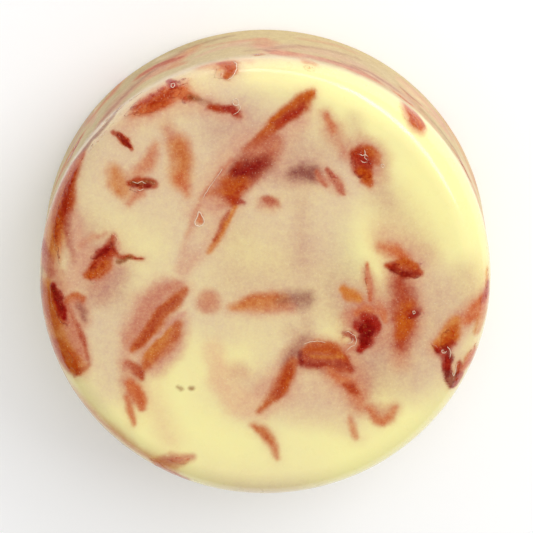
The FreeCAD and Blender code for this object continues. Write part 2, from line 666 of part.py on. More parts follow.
def check_document(doc, nodes, puck, base, trimmed):
    """Stop if anything failed, split, vanished or overlaps."""
    for item in doc.Objects:
        if "Invalid" in item.State or "Error" in item.State:
            raise RuntimeError(f"{item.Name} failed: {item.State}")
    for node in nodes:
        if node.Shape.isNull() or not node.Shape.isValid():
            raise RuntimeError(f"{node.Label} has no valid shape")
    for item in trimmed + [base]:
        if len(item.Shape.Solids) != 1:
            raise RuntimeError(f"{item.Name} has {len(item.Shape.Solids)} solids")
    total = sum(item.Shape.Volume for item in trimmed) + base.Shape.Volume
    whole = puck.Shape.Volume
    if abs(total - whole) > VOLUME_TOLERANCE * whole:
        raise RuntimeError(f"the pieces fill {total:.1f} of {whole:.1f} cubic millimetres")
    print(f"{len(nodes)} nodes, {len(trimmed)} shavings, {whole / 1000:.1f} cubic centimetres")


def main():
    doc = FreeCAD.newDocument("ShavingSoapPuck")
    fill_sheet(doc)
    puck = make_puck(doc)
    nodes = []
    trimmed = []
    for node, pieces in SHAVINGS.items():
        shape, own = make_node(doc, node, pieces, puck)
        nodes.append(shape)
        trimmed.extend(own)
    base = make_base(doc, puck, trimmed)
    nodes.append(base)
    doc.recompute()
    check_document(doc, nodes, puck, base, trimmed)
    os.makedirs("parts", exist_ok=True)
    for node in nodes:
        node.Shape.exportStep(f"parts/{node.Label}.step")
    return doc


document = main()
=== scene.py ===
import json
import math

import bpy
import numpy as np
from mathutils import Matrix, Vector


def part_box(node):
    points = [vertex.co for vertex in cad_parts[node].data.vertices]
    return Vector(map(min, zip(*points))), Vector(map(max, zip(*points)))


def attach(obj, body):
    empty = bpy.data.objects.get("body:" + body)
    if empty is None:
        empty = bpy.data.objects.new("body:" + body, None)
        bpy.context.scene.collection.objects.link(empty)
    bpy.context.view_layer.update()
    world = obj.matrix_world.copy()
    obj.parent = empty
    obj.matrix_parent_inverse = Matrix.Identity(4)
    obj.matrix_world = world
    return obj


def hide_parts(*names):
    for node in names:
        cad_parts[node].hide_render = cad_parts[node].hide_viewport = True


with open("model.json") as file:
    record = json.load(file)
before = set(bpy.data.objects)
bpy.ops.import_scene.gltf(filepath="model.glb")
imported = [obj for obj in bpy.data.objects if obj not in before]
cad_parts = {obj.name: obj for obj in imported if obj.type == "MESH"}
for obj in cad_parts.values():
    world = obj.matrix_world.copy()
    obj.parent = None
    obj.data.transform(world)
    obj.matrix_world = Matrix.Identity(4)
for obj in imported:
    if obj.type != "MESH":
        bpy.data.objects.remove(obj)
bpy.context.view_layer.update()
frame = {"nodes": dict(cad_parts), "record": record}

MM = 0.001
BODY = "root"

# The puck's outline, in millimetres, as the CAD has it.
BASE_RADIUS = 38.0
TOP_RADIUS = 36.4
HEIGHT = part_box("soap_base")[1].z / MM
RIM_FILLET = 5.0
FOOT_FILLET = 1.2
SLOPE = (BASE_RADIUS - TOP_RADIUS) / HEIGHT
DRAFT = math.atan(SLOPE)

# The pale soap's skin lies this far inside the CAD outline, so that crisp shavings stand a hair proud.
SKIN_INSET = 0.05
# Spacing of the skin's points, and the number of rings over the rim, down the wall and round the foot.
FACE_SPACING = 0.28
UNDER_SPACING = 0.7
RIM_STEPS = 25
WALL_STEPS = 28
FOOT_STEPS = 6

# The viewpoint, in millimetres from the middle of the face.
CAMERA_TILT = math.radians(15.67)
CAMERA_DISTANCE = 332.0
CAMERA_RISE = 3.53
CAMERA_SIDE = 0.22
LENS = 139.9

SLOT_OF = {part["node"]: part["material_slot"] for part in frame["record"]["subparts"]}
SHAVING_SLOTS = ["rust_shaving", "amber_shaving", "mauve_shaving"]


# ---------------------------------------------------------------- the puck's outline

def fillet_centre(radius, level):
    """Centre (r, z) of a fillet that touches the drafted wall and a flat face."""
    wall_level = level + radius * math.sin(DRAFT)
    return BASE_RADIUS - SLOPE * wall_level - radius * math.cos(DRAFT), level


RIM_CENTRE = fillet_centre(RIM_FILLET, HEIGHT - RIM_FILLET)
FOOT_CENTRE = fillet_centre(FOOT_FILLET, FOOT_FILLET)


def depth_below_skin(points):
    """How far inside the outline each point is, in millimetres, and the outward direction there."""
    radius = np.hypot(points[:, 0], points[:, 1])
    level = points[:, 2]
    around = points[:, :2] / np.maximum(radius, 1e-6)[:, None]
    wall = (BASE_RADIUS - SLOPE * level - radius) * math.cos(DRAFT)
    depths = np.stack([HEIGHT - level, wall, level], axis=1)
    nearest = depths.argmin(axis=1)
    depth = depths.min(axis=1)
    out_r = np.choose(nearest, [0.0, math.cos(DRAFT), 0.0])
    out_z = np.choose(nearest, [1.0, math.sin(DRAFT), -1.0])
    for (centre_r, centre_z), size, sign in ((RIM_CENTRE, RIM_FILLET, 1), (FOOT_CENTRE, FOOT_FILLET, -1)):
        dr = radius - centre_r
        dz = level - centre_z
        reach = np.maximum(np.hypot(dr, dz), 1e-6)
        rounded = (dr > 0) & (dz * sign > dr * math.tan(DRAFT) * sign)
        depth = np.where(rounded, size - reach, depth)
        out_r = np.where(rounded, dr / reach, out_r)
        out_z = np.where(rounded, dz / reach, out_z)
    outward = np.column_stack([around * out_r[:, None], out_z])
    return depth, outward


def skin_rings():
    """Rings (radius, height, number of points) from the middle of the face to that of the underside."""
    face_rings = round(RIM_CENTRE[0] / FACE_SPACING)
    widest = 6 * face_rings
    rings = [(0.0, HEIGHT, 1)]
    rings += [(RIM_CENTRE[0] * k / face_rings, HEIGHT, 6 * k) for k in range(1, face_rings + 1)]
    rim = fillet_arc(RIM_CENTRE, RIM_FILLET, math.pi / 2, DRAFT, RIM_STEPS)
    foot = fillet_arc(FOOT_CENTRE, FOOT_FILLET, DRAFT, -math.pi / 2, FOOT_STEPS)
    (top_r, top_z), (low_r, low_z) = rim[-1], foot[0]
    wall = [
        (top_r + (low_r - top_r) * i / WALL_STEPS, top_z + (low_z - top_z) * i / WALL_STEPS)
        for i in range(1, WALL_STEPS)
    ]
    rings += [(r, z, widest) for r, z in rim[1:] + wall + foot]
    under_rings = round(FOOT_CENTRE[0] / UNDER_SPACING)
    rings += [(UNDER_SPACING * k, 0.0, 6 * k) for k in range(under_rings - 1, 0, -1)]
    rings.append((0.0, 0.0, 1))
    return rings


def fillet_arc(centre, radius, start, finish, steps):
    return [
        (centre[0] + radius * math.cos(a), centre[1] + radius * math.sin(a))
        for a in np.linspace(start, finish, steps)
    ]


def stitched(first, count, second, following):
    """Faces between two rings of points; each ring is its first index and its number of points."""
    if count == following:
        return [
            (first + i, second + i, second + (i + 1) % count, first + (i + 1) % count)
            for i in range(count)
        ]
    faces = []
    i = j = 0
    while (count > 1 and i < count) or (following > 1 and j < following):
        inner = first + i % count
        outer = second + j % following
        if following > 1 and (count == 1 or (j + 1) / following <= (i + 1) / count):
            faces.append((inner, outer, second + (j + 1) % following))
            j += 1
        else:
            faces.append((inner, outer, first + (i + 1) % count))
            i += 1
    return faces


# ---------------------------------------------------------------- smooth seeded noise

NOISE_TABLE = 4096


def lattice_noise(points, size, seed):
    """Smooth noise from -1 to 1 whose bumps are about size millimetres across."""
    table = np.random.default_rng(seed).uniform(-1, 1, NOISE_TABLE)
    scaled = points / size + 1000.0
    cell = np.floor(scaled).astype(np.int64)
    part = scaled - cell
    part = part * part * (3 - 2 * part)
    total = np.zeros(len(points))
    for corner in range(8):
        offset = np.array([corner & 1, corner >> 1 & 1, corner >> 2 & 1])
        index = cell + offset
        key = (index[:, 0] * 73856093) ^ (index[:, 1] * 19349663) ^ (index[:, 2] * 83492791)
        weight = np.prod(np.where(offset, part, 1 - part), axis=1)
        total += weight * table[key % NOISE_TABLE]
    return total


WAVE_SIZE = 9.0
WAVE_DEPTH = 0.05
RIPPLE_SIZE = 2.6
RIPPLE_DEPTH = 0.02
# The underside is the pour side, which sank a little inside its edge.
POUR_RADIUS = 33.0
POUR_DEPTH = 0.32
POUR_WAVE_SIZE = 7.0
POUR_WAVE_DEPTH = 0.10
POUR_RIPPLE_DEPTH = 0.05
POUR_BLEND = 0.6


def skin_relief(points):
    """How far the real skin sinks under the ideal outline: shallow waves, deeper on the pour side."""
    waves = 0.5 + 0.5 * lattice_noise(points, WAVE_SIZE, 11)
    ripples = 0.5 + 0.5 * lattice_noise(points, RIPPLE_SIZE, 12)
    relief = WAVE_DEPTH * waves + RIPPLE_DEPTH * ripples
    under = np.clip(1 - points[:, 2] / POUR_BLEND, 0, 1)
    radius = np.hypot(points[:, 0], points[:, 1])
    hollow = np.clip(1 - (radius / POUR_RADIUS) ** 4, 0, 1)
    uneven = POUR_WAVE_DEPTH * lattice_noise(points, POUR_WAVE_SIZE, 13)
    pour = (POUR_DEPTH + uneven + POUR_RIPPLE_DEPTH * ripples) * hollow
    return relief * (1 - under) + pour * under


# ---------------------------------------------------------------- how shavings tint the soap over them

# The grid that the shavings are measured on: its cell and its margin round the puck, in millimetres.
GRID = 0.35
MARGIN = 4.0
GRID_LOW = np.array([-BASE_RADIUS - MARGIN, -BASE_RADIUS - MARGIN, -MARGIN])
GRID_SHAPE = tuple(
    int(math.ceil(span / GRID)) for span in (2 * (BASE_RADIUS + MARGIN),) * 2 + (HEIGHT + 2 * MARGIN,)
)

# Depth under the skin, and the blur that soap of that depth gives; the last layer ends at the deepest.
LAYERS = [
    (0.12, 0.20), (0.40, 0.30), (0.75, 0.45), (1.2, 0.70), (1.7, 0.95),
    (2.3, 1.30), (3.0, 1.65), (3.8, 2.00), (4.8, 2.40),
]
DEEPEST = 5.3
SHALLOW_LAYERS = 3
# Deep shavings fade over this depth, from this strength.
FADE_DEPTH = 1.7
FADE_START = 2.2

# Red, green and blue that a millimetre of shaving takes out of the light, close under the skin and deep.
SHALLOW_TINT = {
    "rust_shaving": (0.95, 4.6, 7.0),
    "amber_shaving": (0.62, 3.3, 6.4),
    "mauve_shaving": (1.9, 3.9, 3.4),
}
DEEP_TINT = {
    "rust_shaving": (0.85, 3.3, 3.9),
    "amber_shaving": (0.70, 2.7, 4.0),
    "mauve_shaving": (1.7, 3.4, 2.8),
}
# The dye that bleeds into the soap around the shavings: how far, how deep it shows, and what it takes out.
BLEEDS = [
    (2.0, 0.8, (0.55, 1.65, 1.35)),
    (5.0, 2.0, (0.75, 2.20, 1.70)),
]


def column_hits(vertices, triangles):
    """Where vertical lines through the grid columns cross a mesh: column x, column y, height."""
    hits = []
    flat = (vertices[:, :2] - GRID_LOW[:2]) / GRID - 0.5003
    for a, b, c in triangles:
        ax, ay = flat[a]
        bx, by = flat[b]
        cx, cy = flat[c]
        area = (bx - ax) * (cy - ay) - (cx - ax) * (by - ay)
        if abs(area) < 1e-9:
            continue
        xs = np.arange(math.ceil(min(ax, bx, cx)), math.floor(max(ax, bx, cx)) + 1)
        ys = np.arange(math.ceil(min(ay, by, cy)), math.floor(max(ay, by, cy)) + 1)
        if not len(xs) or not len(ys):
            continue
        gx, gy = np.meshgrid(xs, ys, indexing="ij")
        u = ((gx - ax) * (cy - ay) - (cx - ax) * (gy - ay)) / area
        v = ((bx - ax) * (gy - ay) - (gx - ax) * (by - ay)) / area
        inside = (u >= 0) & (v >= 0) & (u + v <= 1)
        rise_b = vertices[b, 2] - vertices[a, 2]
        rise_c = vertices[c, 2] - vertices[a, 2]
        height = vertices[a, 2] + u * rise_b + v * rise_c
        hits.extend(zip(gx[inside], gy[inside], height[inside]))
    return sorted(hits)


def add_to_grid(grid, node):
    """Fill the grid with the share of each cell that a node's solids take."""
    mesh = frame["nodes"][node].data
    mesh.calc_loop_triangles()
    vertices = np.array([v.co for v in mesh.vertices]) / MM
    triangles = [tuple(t.vertices) for t in mesh.loop_triangles]
    columns = {}
    for x, y, height in column_hits(vertices, triangles):
        columns.setdefault((int(x), int(y)), []).append((height - GRID_LOW[2]) / GRID)
    for (x, y), levels in columns.items():
        for low, high in zip(levels[::2], levels[1::2]):
            for cell in range(int(low), int(high) + 1):
                grid[x, y, cell] += max(0.0, min(high, cell + 1) - max(low, cell))


def blur_transfer(sigma):
    """The Gaussian blur of the grid, in the frequency domain."""
    axes = [np.fft.fftfreq(n, GRID) for n in GRID_SHAPE[:2]] + [np.fft.rfftfreq(GRID_SHAPE[2], GRID)]
    squares = axes[0][:, None, None] ** 2 + axes[1][None, :, None] ** 2 + axes[2][None, None, :] ** 2
    return np.exp(-2 * (math.pi * sigma) ** 2 * squares)


def sample_grid(grid, points):
    """Trilinear reading of the grid."""
    place = (points - GRID_LOW) / GRID - 0.5
    place = np.clip(place, 0, np.array(GRID_SHAPE) - 1.001)
    cell = place.astype(int)
    part = place - cell
    total = np.zeros(len(points))
    for corner in range(8):
        offset = np.array([corner & 1, corner >> 1 & 1, corner >> 2 & 1])
        index = cell + offset
        weight = np.prod(np.where(offset, part, 1 - part), axis=1)
        total += weight * grid[index[:, 0], index[:, 1], index[:, 2]]
    return total


def soap_tint(points):
    """What the shavings under each skin point take out of red, green and blue."""
    depth, outward = depth_below_skin(points)
    start = points + outward * depth[:, None]
    tint = np.zeros((len(points), 3))
    everything = np.zeros(GRID_SHAPE)
    for slot in SHAVING_SLOTS:
        grid = np.zeros(GRID_SHAPE)
        for node in frame["nodes"]:
            if SLOT_OF[node] == slot:
                add_to_grid(grid, node)
        everything += grid
        spectrum = np.fft.rfftn(grid)
        edges = [0.0] + [(a[0] + b[0]) / 2 for a, b in zip(LAYERS, LAYERS[1:])] + [DEEPEST]
        for number, (below, sigma) in enumerate(LAYERS):
            blurred = np.fft.irfftn(spectrum * blur_transfer(sigma), s=GRID_SHAPE)
            amount = sample_grid(blurred, start - outward * below) * (edges[number + 1] - edges[number])
            if number < SHALLOW_LAYERS:
                tint += amount[:, None] * np.array(SHALLOW_TINT[slot])
            else:
                faded = amount * math.exp(-below / FADE_DEPTH) * FADE_START
                tint += faded[:, None] * np.array(DEEP_TINT[slot])
    spectrum = np.fft.rfftn(everything)
    for sigma, below, colour in BLEEDS:
        spread = np.fft.irfftn(spectrum * blur_transfer(sigma), s=GRID_SHAPE)
        bleed = sample_grid(spread, start - outward * below)
        tint += bleed[:, None] * np.array(colour)
    return tint


# ---------------------------------------------------------------- what shows through the skin

# The colour of the untinted soap, and of the soap where each dye is at full strength.
CREAM = (247, 238, 164)
DYES = {
    "cream": CREAM,
    "celadon": (224, 216, 158),
    "beige": (224, 198, 156),
    "peach": (230, 192, 144),
    # khaki is painted shade, not a dye: it darkens the far side of the wall.
    "khaki": (176, 154, 98),
    "pink": (214, 160, 126),
    "lilac": (200, 152, 124),
    "rose": (203, 130, 96),
    "salmon": (203, 106, 56),
    "amber": (206, 122, 48),
    "orange": (190, 84, 12),
    "rust": (174, 56, 10),
    "red": (162, 28, 8),
    "dark_red": (132, 6, 4),
    "mauve": (144, 76, 62),
    "brown": (146, 80, 36),
}

# Strokes of dye on the face, laid in this order: the dye, how strongly it covers, how softly it ends, and
# its path as (x, y, half width) on the skin laid out flat, in millimetres. The places were read by eye off
# the photograph, in its pixels, and a separate program turned them into these millimetres.
# A few strokes below paint shade, not dye; a comment marks each.
DYE_STROKES = [
    # The pale beige of most of the face, and where the soap stays yellow.
    ("beige", 0.80, 11.22, [(0.0, 30.6, 9.38), (0.0, -31.0, 9.86)]),
    ("beige", 0.60, 11.22, [(-21.3, 22.6, 20.20), (-23.4, -6.9, 9.62)]),
    ("cream", 0.95, 9.62, [
        (-15.5, -22.3, 4.17), (-4.9, -27.1, 5.45), (12.3, -27.8, 6.66), (26.9, -18.9, 4.41),
    ]),
    ("cream", 0.60, 7.05, [(-4.7, -11.3, 3.21), (-8.6, -14.1, 2.89)]),
    ("cream", 0.90, 8.01, [
        (-1.6, 34.4, 2.10), (11.8, 33.2, 3.97), (24.5, 24.2, 8.66), (30.1, 13.7, 7.50),
        (31.4, 4.4, 2.30),
    ]),
    ("cream", 0.60, 6.41, [(20.6, 21.0, 2.20), (23.5, 16.2, 1.89)]),
    ("cream", 0.65, 6.41, [(-3.2, 7.2, 3.21), (2.4, 5.6, 2.89)]),
    ("celadon", 0.60, 6.41, [(10.0, 10.5, 2.89), (12.8, 3.9, 2.89), (12.3, 1.4, 2.24)]),
    ("cream", 0.55, 5.77, [(13.0, -18.8, 2.24), (21.9, -15.4, 2.24)]),
    ("cream", 0.45, 5.77, [(-15.1, 12.9, 2.56), (-16.7, 8.8, 2.56)]),
    # The pinkish cast of the soap between the shavings.
    ("beige", 0.95, 9.62, [(-24.4, 22.6, 7.20), (-16.6, 18.6, 8.01)]),
    ("beige", 0.95, 7.21, [(-9.4, 25.0, 5.13), (-5.5, 27.4, 4.49)]),
    ("lilac", 0.55, 5.77, [(-7.1, 26.2, 2.56), (-3.2, 27.7, 1.92)]),
    ("lilac", 0.75, 9.62, [(-0.5, 22.6, 3.21), (5.5, 20.2, 4.49), (11.5, 21.0, 2.89)]),
    ("beige", 0.95, 9.62, [(0.0, 12.1, 4.49), (7.1, 8.8, 5.45), (13.4, 17.8, 3.85)]),
    ("lilac", 0.35, 9.62, [(-5.6, 8.0, 4.17), (-4.0, 2.2, 4.81), (8.8, 3.1, 4.81)]),
    ("lilac", 0.45, 4.17, [(5.8, 13.7, 1.28), (5.9, 4.4, 1.12)]),
    ("lilac", 0.50, 4.17, [(13.6, 27.4, 0.94), (16.8, 21.0, 1.28), (19.2, 13.7, 0.96)]),
    ("lilac", 0.52, 8.01, [(19.5, 14.6, 2.24), (21.7, 11.0, 2.89), (24.7, 6.7, 2.89)]),
    ("beige", 0.85, 8.01, [(-12.7, 10.5, 4.17), (-12.0, 4.4, 3.21)]),
    ("lilac", 0.75, 8.01, [(-30.2, 10.5, 2.32), (-27.6, 4.4, 3.85), (-24.6, -1.9, 3.21)]),
    ("beige", 0.95, 8.01, [(-31.4, -3.6, 2.38), (-25.0, -7.8, 4.49), (-25.2, -16.3, 2.93)]),
    ("beige", 0.70, 6.41, [(-10.5, -3.6, 3.53), (-6.5, -6.9, 2.56)]),
    ("pink", 0.85, 6.41, [(19.1, 8.8, 1.60), (23.5, 3.9, 3.21), (24.1, -1.9, 3.21), (22.6, -9.5, 2.56)]),
    ("lilac", 0.60, 6.41, [(24.7, 4.4, 1.60), (27.4, 0.6, 1.60), (28.1, -3.6, 1.92)]),
    ("lilac", 0.95, 9.62, [(13.6, -1.9, 3.53), (19.3, -6.9, 4.81), (16.2, -14.6, 3.85)]),
    ("beige", 0.95, 8.01, [(28.0, 0.6, 3.19), (30.6, -6.9, 4.37), (25.1, -14.6, 4.04)]),
    ("lilac", 0.45, 8.01, [(28.1, -1.9, 2.59), (26.6, -9.5, 3.29), (21.9, -15.4, 2.56)]),
    ("lilac", 0.55, 6.41, [(32.8, 2.2, 2.07), (34.5, -3.9, 2.42)]),
    ("pink", 0.80, 8.01, [(-0.5, -17.1, 2.24), (3.2, -18.0, 2.56), (11.4, -18.0, 4.17)]),
    ("beige", 0.60, 8.01, [(7.3, -18.8, 3.21), (13.9, -22.3, 2.56)]),
    ("peach", 0.60, 5.77, [(-18.7, -18.0, 1.92), (-15.6, -25.7, 1.66)]),
    ("lilac", 0.60, 4.17, [(4.0, -6.9, 0.96), (7.2, -8.6, 1.28), (5.9, -2.7, 0.96)]),
    # The upper left of the rim.
    ("pink", 0.85, 4.74, [
        (-21.7, 27.1, 1.07), (-18.1, 29.3, 1.96), (-13.6, 30.7, 1.96), (-9.4, 30.0, 1.26),
    ]),
    ("salmon", 0.92, 1.48, [
        (-21.0, 28.6, 0.69), (-18.6, 30.2, 1.61), (-15.6, 31.4, 1.80), (-12.9, 31.9, 1.01),
    ]),
    ("rust", 0.75, 1.19, [(-21.0, 29.6, 0.37), (-18.4, 31.4, 0.70), (-16.8, 32.2, 0.45)]),
    ("rust", 0.90, 1.01, [(-18.2, 30.0, 0.29), (-16.3, 30.9, 0.65), (-14.7, 31.9, 0.55)]),
    ("orange", 0.55, 1.19, [(-19.8, 28.7, 0.42), (-17.8, 29.3, 0.67), (-15.9, 30.3, 0.50)]),
    ("red", 0.95, 0.59, [(-15.9, 34.9, 0.33), (-14.9, 33.4, 0.64), (-14.3, 32.4, 0.32)]),
    ("red", 0.85, 0.71, [(-13.2, 31.1, 0.32), (-12.2, 31.1, 0.57), (-11.4, 30.9, 0.31)]),
    ("salmon", 0.70, 1.19, [(-14.0, 31.9, 0.65), (-12.4, 31.2, 0.79), (-10.8, 30.7, 0.47)]),
    ("brown", 0.85, 0.89, [
        (-11.6, 30.9, 0.25), (-10.2, 30.4, 0.31), (-8.9, 29.8, 0.41), (-7.5, 29.3, 0.48),
    ]),
    ("pink", 0.80, 2.67, [(-9.2, 29.3, 0.79), (-6.7, 28.7, 1.11), (-3.9, 28.1, 0.64)]),
    ("rust", 0.92, 0.89, [(-8.5, 29.5, 0.38), (-6.7, 29.3, 0.57), (-5.3, 29.2, 0.63), (-4.4, 28.2, 0.41)]),
    ("red", 0.80, 0.59, [(-6.4, 29.5, 0.32), (-5.5, 29.2, 0.51), (-4.6, 28.5, 0.32)]),
    ("amber", 0.60, 2.37, [(-10.5, 37.3, 0.87), (-8.5, 37.8, 1.44), (-6.4, 37.3, 1.73)]),
    ("orange", 0.90, 0.89, [
        (-7.3, 37.8, 0.58), (-5.7, 36.9, 1.07), (-5.3, 35.5, 0.77), (-6.0, 34.3, 0.44),
    ]),
    ("peach", 0.80, 1.19, [(-3.7, 38.8, 0.58), (-2.5, 37.8, 0.75)]),
    ("amber", 0.60, 1.19, [(6.4, 39.7, 0.58), (7.2, 38.2, 0.87), (8.1, 37.7, 0.58)]),
    # Painted shade: a thin brown line where the rim meets the wall at the upper left, away from the light.
    ("brown", 0.80, 0.53, [
        (-14.6, 40.6, 0.17), (-18.9, 40.7, 0.29), (-21.8, 37.8, 0.38), (-24.6, 34.4, 0.43),
        (-25.5, 28.7, 0.43), (-27.3, 25.6, 0.40), (-29.8, 22.9, 0.52), (-32.0, 20.3, 0.69),
    ]),
    ("rust", 0.95, 0.47, [
        (-24.2, 25.8, 0.19), (-23.0, 25.1, 0.45), (-22.0, 24.2, 0.61), (-21.1, 23.0, 0.22),
    ]),
    ("dark_red", 0.60, 0.44, [(-23.4, 25.3, 0.16), (-22.2, 24.5, 0.32), (-21.4, 23.4, 0.16)]),
    # Blurred shavings in the upper left of the face.
    ("rose", 0.75, 2.67, [(-15.2, 26.2, 0.79), (-14.3, 24.6, 1.27), (-13.4, 23.0, 1.60)]),
    ("amber", 0.75, 2.67, [(-13.7, 23.0, 1.44), (-13.3, 20.7, 1.76), (-13.6, 18.1, 1.44)]),
    ("orange", 0.22, 1.78, [(-12.8, 22.6, 0.80), (-12.9, 19.7, 0.96)]),
    ("salmon", 0.70, 1.78, [(-13.4, 18.1, 0.96), (-12.8, 16.5, 0.80), (-12.4, 15.4, 0.32)]),
    ("salmon", 0.62, 2.08, [
        (-20.1, 18.8, 0.96), (-18.6, 20.5, 0.96), (-17.8, 22.2, 0.63), (-17.2, 23.6, 0.25),
    ]),
    ("amber", 0.75, 2.08, [(-23.8, 19.3, 0.96), (-23.2, 17.6, 1.44), (-22.6, 16.2, 1.28)]),
    ("rust", 0.92, 0.77, [(-21.2, 17.3, 0.48), (-19.8, 17.2, 0.96), (-18.0, 17.2, 0.71)]),
    ("brown", 0.80, 0.47, [
        (-21.0, 17.3, 0.16), (-19.9, 16.8, 0.26), (-19.0, 17.5, 0.22), (-17.9, 17.3, 0.16),
    ]),
    ("dark_red", 0.60, 0.59, [(-20.7, 16.7, 0.19), (-19.5, 16.5, 0.35), (-18.4, 16.8, 0.22)]),
    ("salmon", 0.65, 1.48, [(-21.9, 13.9, 0.26), (-20.8, 14.9, 0.48), (-19.8, 15.7, 0.48)]),
    # The long diagonal roll.
    ("pink", 0.80, 4.74, [(-3.0, 24.6, 1.60), (-5.8, 20.7, 2.08), (-8.4, 16.8, 1.92), (-10.5, 12.6, 1.60)]),
    ("pink", 0.70, 4.15, [(5.5, 27.7, 1.43), (1.6, 24.6, 1.92), (-0.2, 20.2, 1.92)]),
    ("orange", 0.92, 1.19, [
        (7.2, 31.4, 0.63), (5.9, 30.3, 1.26), (3.9, 28.7, 1.26), (1.6, 26.6, 0.96),
        (-0.5, 24.6, 0.71), (-2.4, 22.6, 0.48),
    ]),
    ("red", 0.75, 1.19, [(5.6, 29.3, 0.47), (4.2, 28.2, 0.73), (2.3, 26.6, 0.48)]),
    ("rust", 0.88, 2.08, [
        (0.8, 23.6, 1.76), (-1.0, 21.5, 2.08), (-2.9, 19.4, 2.40), (-4.8, 17.2, 2.08),
        (-6.5, 15.2, 1.60),
    ]),
    ("rose", 0.60, 2.37, [(1.4, 23.9, 0.96), (-0.5, 22.6, 1.12), (-2.1, 21.7, 1.12)]),
    ("dark_red", 0.85, 2.67, [(-0.2, 20.4, 0.96), (-2.5, 19.7, 1.52), (-4.3, 18.9, 1.12)]),
    ("orange", 0.70, 1.78, [(-5.9, 17.2, 1.12), (-4.6, 16.5, 1.28), (-3.3, 17.2, 0.96)]),
    ("orange", 0.60, 1.48, [(-8.4, 15.5, 0.96), (-6.5, 14.9, 1.28), (-5.2, 14.2, 0.80)]),
    ("red", 0.80, 0.71, [(-5.9, 15.0, 0.26), (-4.9, 14.4, 0.54), (-3.8, 13.9, 0.26)]),
    ("rust", 0.85, 0.71, [(-3.5, 16.8, 0.19), (-4.6, 15.0, 0.38), (-5.6, 13.6, 0.22)]),
    ("pink", 0.60, 1.78, [(-8.1, 13.3, 2.08), (-9.7, 10.0, 2.24), (-11.5, 6.0, 1.92), (-13.0, 3.4, 1.28)]),
    ("beige", 0.50, 2.37, [(-9.4, 11.0, 1.28), (-11.0, 7.4, 1.28)]),
    ("salmon", 0.90, 0.59, [(-10.3, 11.8, 0.29), (-10.5, 11.0, 0.48)]),
    ("amber", 0.85, 0.71, [(-4.9, 13.3, 0.22), (-6.2, 10.6, 0.32), (-7.7, 8.0, 0.34), (-9.1, 6.0, 0.19)]),
    ("rust", 0.75, 0.59, [(-5.9, 12.6, 0.16), (-6.9, 10.3, 0.26), (-8.1, 8.0, 0.16)]),
    ("rose", 0.80, 0.71, [(-10.2, 14.6, 0.19), (-8.7, 16.8, 0.29), (-7.0, 19.1, 0.29), (-5.2, 21.3, 0.19)]),
    ("rose", 0.45, 0.89, [(-10.3, 13.6, 0.22), (-11.5, 11.3, 0.29), (-12.6, 8.7, 0.19)]),
    # The middle of the face.
    ("rust", 0.85, 1.19, [(0.0, 14.4, 0.42), (0.8, 14.2, 0.80), (1.6, 14.2, 0.48)]),
    ("rose", 0.60, 2.67, [(-0.5, 13.6, 0.64), (0.8, 13.6, 0.80)]),
    ("lilac", 0.80, 3.56, [(0.1, 18.1, 0.80), (3.0, 18.6, 1.44), (5.5, 18.9, 1.44)]),
    ("mauve", 0.92, 2.08, [(4.2, 18.9, 0.64), (6.0, 19.1, 1.04), (7.6, 18.9, 1.12)]),
    ("rose", 0.70, 2.67, [(9.4, 28.1, 0.78), (10.3, 26.2, 1.26), (11.8, 23.9, 1.12), (12.9, 21.7, 0.80)]),
    ("salmon", 0.70, 1.19, [(9.5, 28.1, 0.25), (10.0, 26.9, 0.63), (10.7, 25.8, 0.32)]),
    ("rust", 0.85, 0.59, [(8.3, 19.1, 0.19), (8.8, 18.1, 0.32), (9.3, 17.0, 0.19)]),
    ("rust", 0.92, 0.59, [(9.9, 19.4, 0.19), (10.7, 18.1, 0.45), (11.5, 16.8, 0.48), (12.2, 15.7, 0.19)]),
    ("rose", 0.70, 2.08, [(9.0, 18.1, 0.80), (10.6, 17.8, 0.96), (11.7, 16.3, 0.64)]),
    ("rose", 0.60, 1.78, [(-9.1, -2.2, 2.00)]),
    ("salmon", 0.15, 2.37, [(-9.1, -2.2, 1.28)]),
    ("pink", 0.70, 2.37, [(-5.3, -3.3, 0.64), (-2.4, -2.9, 1.44), (3.2, -2.6, 1.60)]),
    ("amber", 0.70, 1.48, [(-5.5, -3.1, 0.26), (-3.1, -2.6, 0.87), (-0.5, -2.4, 1.19), (2.7, -2.2, 1.19)]),
    ("orange", 0.50, 1.19, [(-4.0, -2.2, 0.26), (-1.8, -1.6, 0.42), (1.6, -1.4, 0.42)]),
    ("mauve", 0.52, 2.67, [(3.0, -2.1, 0.96), (5.0, -1.9, 1.28), (6.6, -1.7, 1.04)]),
    ("rose", 0.40, 1.48, [(0.5, -3.3, 0.48), (4.0, -3.3, 0.64)]),
    # The left of the rim and the cluster beside it.
    ("amber", 0.85, 2.37, [
        (-31.9, 19.0, 1.44), (-33.3, 14.7, 2.60), (-34.7, 9.4, 3.17), (-35.9, 4.6, 2.02),
    ]),
    ("orange", 0.90, 1.19, [
        (-29.9, 22.0, 0.69), (-31.6, 19.0, 1.73), (-32.9, 15.3, 2.31), (-33.5, 11.7, 1.76),
        (-33.9, 8.5, 0.64),
    ]),
    ("red", 0.58, 1.01, [
        (-32.0, 17.0, 0.52), (-32.0, 14.1, 0.83), (-31.7, 11.1, 0.78), (-31.1, 8.0, 0.49),
        (-30.4, 4.4, 0.23),
    ]),
    ("rust", 0.70, 1.19, [(-30.8, 19.0, 0.51), (-31.1, 15.4, 0.59), (-31.5, 12.2, 0.53)]),
    ("pink", 0.80, 2.67, [(-30.3, 11.9, 0.67), (-29.5, 8.0, 1.12), (-29.6, 4.1, 1.11), (-30.9, 0.8, 0.96)]),
    ("rust", 0.90, 1.19, [(-37.7, 6.7, 1.15), (-35.7, 4.7, 1.33), (-34.7, 2.5, 0.75)]),
    ("rose", 0.85, 2.37, [(-35.6, 4.0, 1.34), (-33.7, 2.0, 1.35), (-32.6, -0.3, 0.86)]),
    ("rose", 0.60, 1.19, [(-29.5, 7.0, 0.26), (-27.6, 8.4, 0.42), (-25.6, 8.8, 0.26)]),
